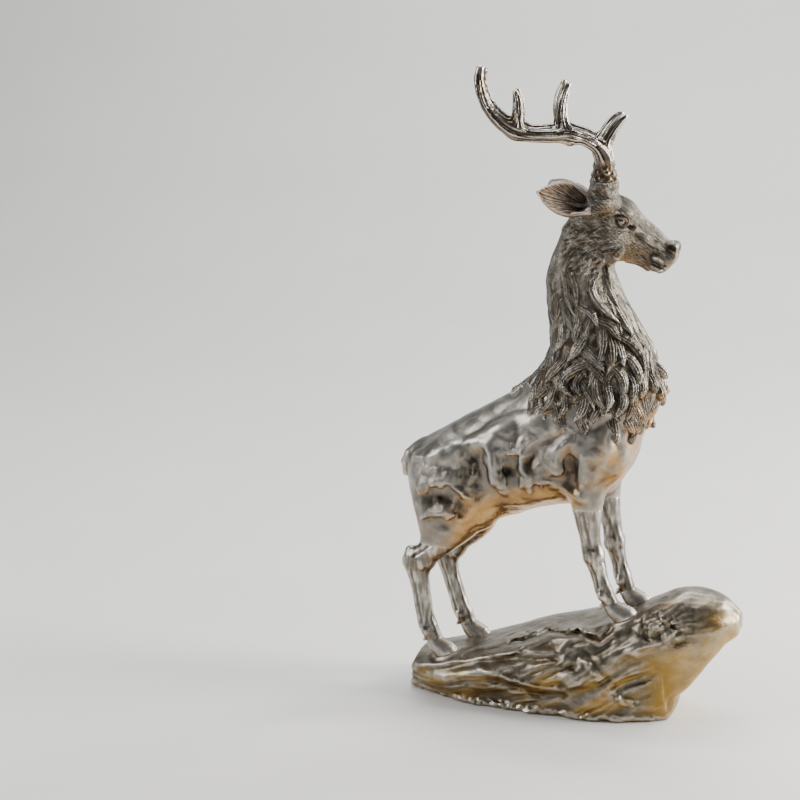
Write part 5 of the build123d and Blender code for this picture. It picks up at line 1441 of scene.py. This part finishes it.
for s in (-1, 1):
    for line, w, hh in CURLS:
        j = rng.uniform(-2.6, 2.6, (len(line), 2)) * (s > 0)
        mane_locks.append(trace_lock(coarse, [(a + p, b + q) for (a, b), (p, q) in zip(line, j)], s, w, hh, rng.uniform(0.45, 0.8), rng, y=33.0 if line[0][1] < 380 else 27.0, steps=11, blunt=0.58))
# the tuft that stands off the breast
for zz, ln, w, th in ((340, 17, 5.0, -0.15), (334, 19, 5.6, -0.45), (328, 20, 6.0, 0.25), (322, 17, 5.6, -0.1), (314, 17, 5.4, 0.35)):
    P = neck_pt(np.array([th]), np.array([float(zz)]))
    mane_locks += lay_locks(coarse, P, [[0.5, 0.6 * th, -1]], ln, w, 5.2, 1.15, rng.uniform(-1.6, 1.6), rng, root=0.7, blunt=0.6)

# head: short fur locks over the cheek, the jaw and the back of the skull, all running back from the face
head_locks = []
for s in (-1, 1):
    pts_a = []
    for a in np.arange(-19, 31, 3.9):
        for z in np.arange(428, 490, 3.8):
            if a > 9 and z > 459 or a > 20 and z > 447 or a < -12 and z < 442:
                continue
            pts_a.append((a + rng.uniform(-1.8, 1.8), z + rng.uniform(-1.6, 1.6)))
    pa = np.array(pts_a)
    P = np.stack(head_pt(pa[:, 0], s * 17.0, pa[:, 1]), -1)
    low = sstep(462, 438, pa[:, 1])
    drop = -0.15 - 0.60 * sstep(472, 432, pa[:, 1]) + rng.uniform(-0.25, 0.25, len(pa)) + 0.35 * sstep(470, 485, pa[:, 1]) + 0.7 * noise(pa[:, 0] / 9, pa[:, 1] / 9, pa[:, 0] * 0, seed=97)
    D = np.stack([-CY + 0 * drop, -SY + 0 * drop, drop], -1)
    head_locks += lay_locks(coarse, P, D, rng.uniform(10, 15, len(pa)) + 3 * low, rng.uniform(1.2, 1.9, len(pa)) + 0.7 * low, rng.uniform(0.6, 1.0, len(pa)) + 0.5 * low, rng.uniform(0, 0.5, len(pa)) + 0.3 * low,
                            rng.uniform(0.4, 1.5, len(pa)) * rng.choice([-1, 1], len(pa)), rng, steps=7, strands=3, level=-0.1, root=0.5)

# flank: broad half-melted drapes over the shoulder, behind it, along the ribs and over the thigh
DRAPES = [([(-62, 258), (-57, 242), (-50, 220)], 10.5, 4.6), ([(-6, 270), (-20, 262), (-33, 247)], 9.0, 4.0), ([(-26, 262), (-28, 242), (-24, 217)], 9.0, 5.2),
          ([(-10, 264), (-15, 244), (-12, 222)], 8.0, 5.0), ([(22, 274), (10, 257), (-5, 234)], 13.5, 5.2), ([(31, 262), (29, 246), (25, 228)], 5.4, 4.2),
          ([(-130, 230), (-129, 216), (-126, 201)], 9.0, 3.6), ([(-112, 240), (-111, 226), (-108, 211)], 12.0, 4.2), ([(-95, 234), (-94, 220), (-94, 207)], 7.0, 3.6), ([(-126, 206), (-125, 192), (-122, 178)], 10.0, 4.0),
          ([(-107, 210), (-106, 196), (-105, 181)], 11.5, 4.6), ([(46, 278), (44, 262), (40, 244)], 6.5, 3.2), ([(-42, 266), (-44, 256), (-42, 247)], 8.0, 3.0)]
flank_locks = []
for s in (-1, 1):
    for line, w, hh in DRAPES:
        j = rng.uniform(-3.0, 3.0, (len(line), 2)) * (s > 0)
        flank_locks.append(trace_lock(coarse, [(a + p, b + q) for (a, b), (p, q) in zip(line, j)], s, w * rng.uniform(0.92, 1.1), hh, rng.uniform(0.35, 0.6), rng, strands=2, level=-0.9, root=0.85, blunt=0.80, y=40.0))

make_torso()
make_neck()
make_head()


# ------------------------------------------------------------------ carried-over fastenings, cover and felt
def steel(name, color, rough, scale, bumpiness, metallic=1.0, wear=(0.42, 0.36, 0.28)):
    m, nt, bs = nt_material(name)
    N = Nodes(nt)
    co = N.new("ShaderNodeTexCoord").outputs["Object"]
    a = N.noise(co, scale, 4.0, 0.6)
    b = N.noise(co, scale * 6, 3.0, 0.6)
    N.set(bs, "Base_Color", N.mix(N.ramp(a, 0.48, 0.68), color, wear))
    N.set(bs, "Metallic", metallic)
    N.set(bs, "Roughness", N.math("ADD", N.math("MULTIPLY", a, 0.30), rough, clamp=True))
    bump = N.new("ShaderNodeBump")
    bump.inputs["Strength"].default_value = bumpiness
    bump.inputs["Distance"].default_value = 0.0003
    N.set(bump, "Height", b)
    N.set(bs, "Normal", bump.outputs[0])
    return m


M_FIX = steel("zinc_steel", (0.66, 0.66, 0.62), 0.16, 160.0, 0.3)
M_PIN = steel("drawn_pin", (0.62, 0.56, 0.46), 0.18, 200.0, 0.3)
M_COVER = steel("cover_plate", (0.20, 0.17, 0.14), 0.34, 60.0, 0.4, 0.8, (0.34, 0.25, 0.17))
M_FELT = steel("felt", (0.035, 0.045, 0.032), 0.80, 700.0, 1.0, 0.0, (0.060, 0.070, 0.050))
for names, mat in ((("antler_studs", "cover_screws", "hoof_studs", "hoof_washers", "hoof_nuts"), M_FIX), (("leg_pins", "neck_pins"), M_PIN), (("base_cover",), M_COVER), (("felt_pad",), M_FELT)):
    for nm in names:
        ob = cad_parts[nm]
        ob.data.materials.clear()
        ob.data.materials.append(mat)


# ------------------------------------------------------------------ floor, light, camera
def make_floor():
    n = 41
    me = bpy.data.meshes.new("studio_floor")
    xs = np.linspace(-3.0, 3.0, n)
    prof = [(-3.2, 0.0), (-1.0, 0.0), (0.6, 0.0), (1.2, 0.0), (1.55, 0.05), (1.85, 0.2), (2.05, 0.45), (2.15, 0.8), (2.2, 1.4), (2.2, 3.2)]
    v = [(float(x), y, z - 0.0002) for y, z in prof for x in xs]
    f = [(r * n + i, r * n + i + 1, (r + 1) * n + i + 1, (r + 1) * n + i) for r in range(len(prof) - 1) for i in range(n - 1)]
    me.from_pydata(v, [], f)
    me.polygons.foreach_set("use_smooth", np.ones(len(me.polygons), bool))
    ob = bpy.data.objects.new("studio_floor", me)
    bpy.context.scene.collection.objects.link(ob)
    m, nt, bs = nt_material("pale_floor")
    N = Nodes(nt)
    co = N.new("ShaderNodeTexCoord").outputs["Object"]
    a = N.noise(co, 6.0, 3.0, 0.5)
    N.set(bs, "Base_Color", N.mix(a, (0.74, 0.74, 0.73), (0.80, 0.80, 0.79)))
    N.set(bs, "Roughness", N.math("ADD", N.math("MULTIPLY", a, 0.15), 0.55))
    me.materials.append(m)


make_floor()


def area(name, loc, target, size, size_y, power, color=(1, 1, 1)):
    li = bpy.data.lights.new(name, "AREA")
    li.shape = "RECTANGLE"
    li.size, li.size_y, li.energy, li.color = size, size_y, power, color
    ob = bpy.data.objects.new(name, li)
    ob.location = loc
    ob.rotation_euler = (Vector(target) - Vector(loc)).to_track_quat("-Z", "Y").to_euler()
    bpy.context.scene.collection.objects.link(ob)
    ob.visible_camera = False


area("key_left", (-1.55, -0.75, 1.0), (0, 0, 0.30), 0.6, 1.3, 22, (1.0, 0.985, 0.96))
area("rim_right", (1.30, 0.25, 0.75), (0.05, 0, 0.30), 0.45, 1.3, 44, (1.0, 0.95, 0.88))
area("rim_back", (0.95, 1.25, 0.75), (0.05, 0, 0.35), 0.35, 1.1, 18, (1.0, 0.96, 0.90))
area("top_soft", (-0.3, 0.2, 1.9), (0, 0, 0.3), 1.0, 0.8, 10, (1.0, 1.0, 1.0))
area("front_low", (0.95, -1.9, 0.45), (0, 0, 0.25), 0.35, 0.6, 3, (1.0, 0.93, 0.82))
area("backdrop", (0.0, 1.0, 2.6), (0, 2.2, 0.7), 2.6, 0.5, 60, (0.98, 1.0, 1.0))

world = bpy.data.worlds.new("studio")
bpy.context.scene.world = world
world.use_nodes = True
wn = world.node_tree
wn.nodes.clear()
wo = wn.nodes.new("ShaderNodeOutputWorld")
bg = wn.nodes.new("ShaderNodeBackground")
tc = wn.nodes.new("ShaderNodeTexCoord")
sx = wn.nodes.new("ShaderNodeSeparateXYZ")
mr = wn.nodes.new("ShaderNodeMapRange")
mr.inputs["From Min"].default_value = -0.35
mr.inputs["From Max"].default_value = 0.9
mr.inputs["To Min"].default_value = 0.04
mr.inputs["To Max"].default_value = 0.30
wn.links.new(tc.outputs["Generated"], sx.inputs[0])
wn.links.new(sx.outputs[2], mr.inputs["Value"])
wn.links.new(mr.outputs[0], bg.inputs["Strength"])
bg.inputs["Color"].default_value = (0.93, 0.96, 1.0, 1.0)
wn.links.new(bg.outputs[0], wo.inputs[0])

cam = bpy.data.cameras.new("camera")
cam.lens, cam.sensor_width = 93.6, 36.0
cam.clip_start, cam.clip_end = 0.05, 20.0
cam_ob = bpy.data.objects.new("camera", cam)
right = Vector((0.9413, 0.3375, 0.0)).normalized()
fwd = Vector((-0.3276, 0.9137, -0.2405)).normalized()
up = right.cross(fwd).normalized()
right = fwd.cross(up).normalized()
rot = Matrix((right, up, -fwd)).transposed().to_4x4()
cam_ob.matrix_world = Matrix.Translation((0.4865798, -1.8159406, 0.760)) @ rot
bpy.context.scene.collection.objects.link(cam_ob)
bpy.context.scene.camera = cam_ob
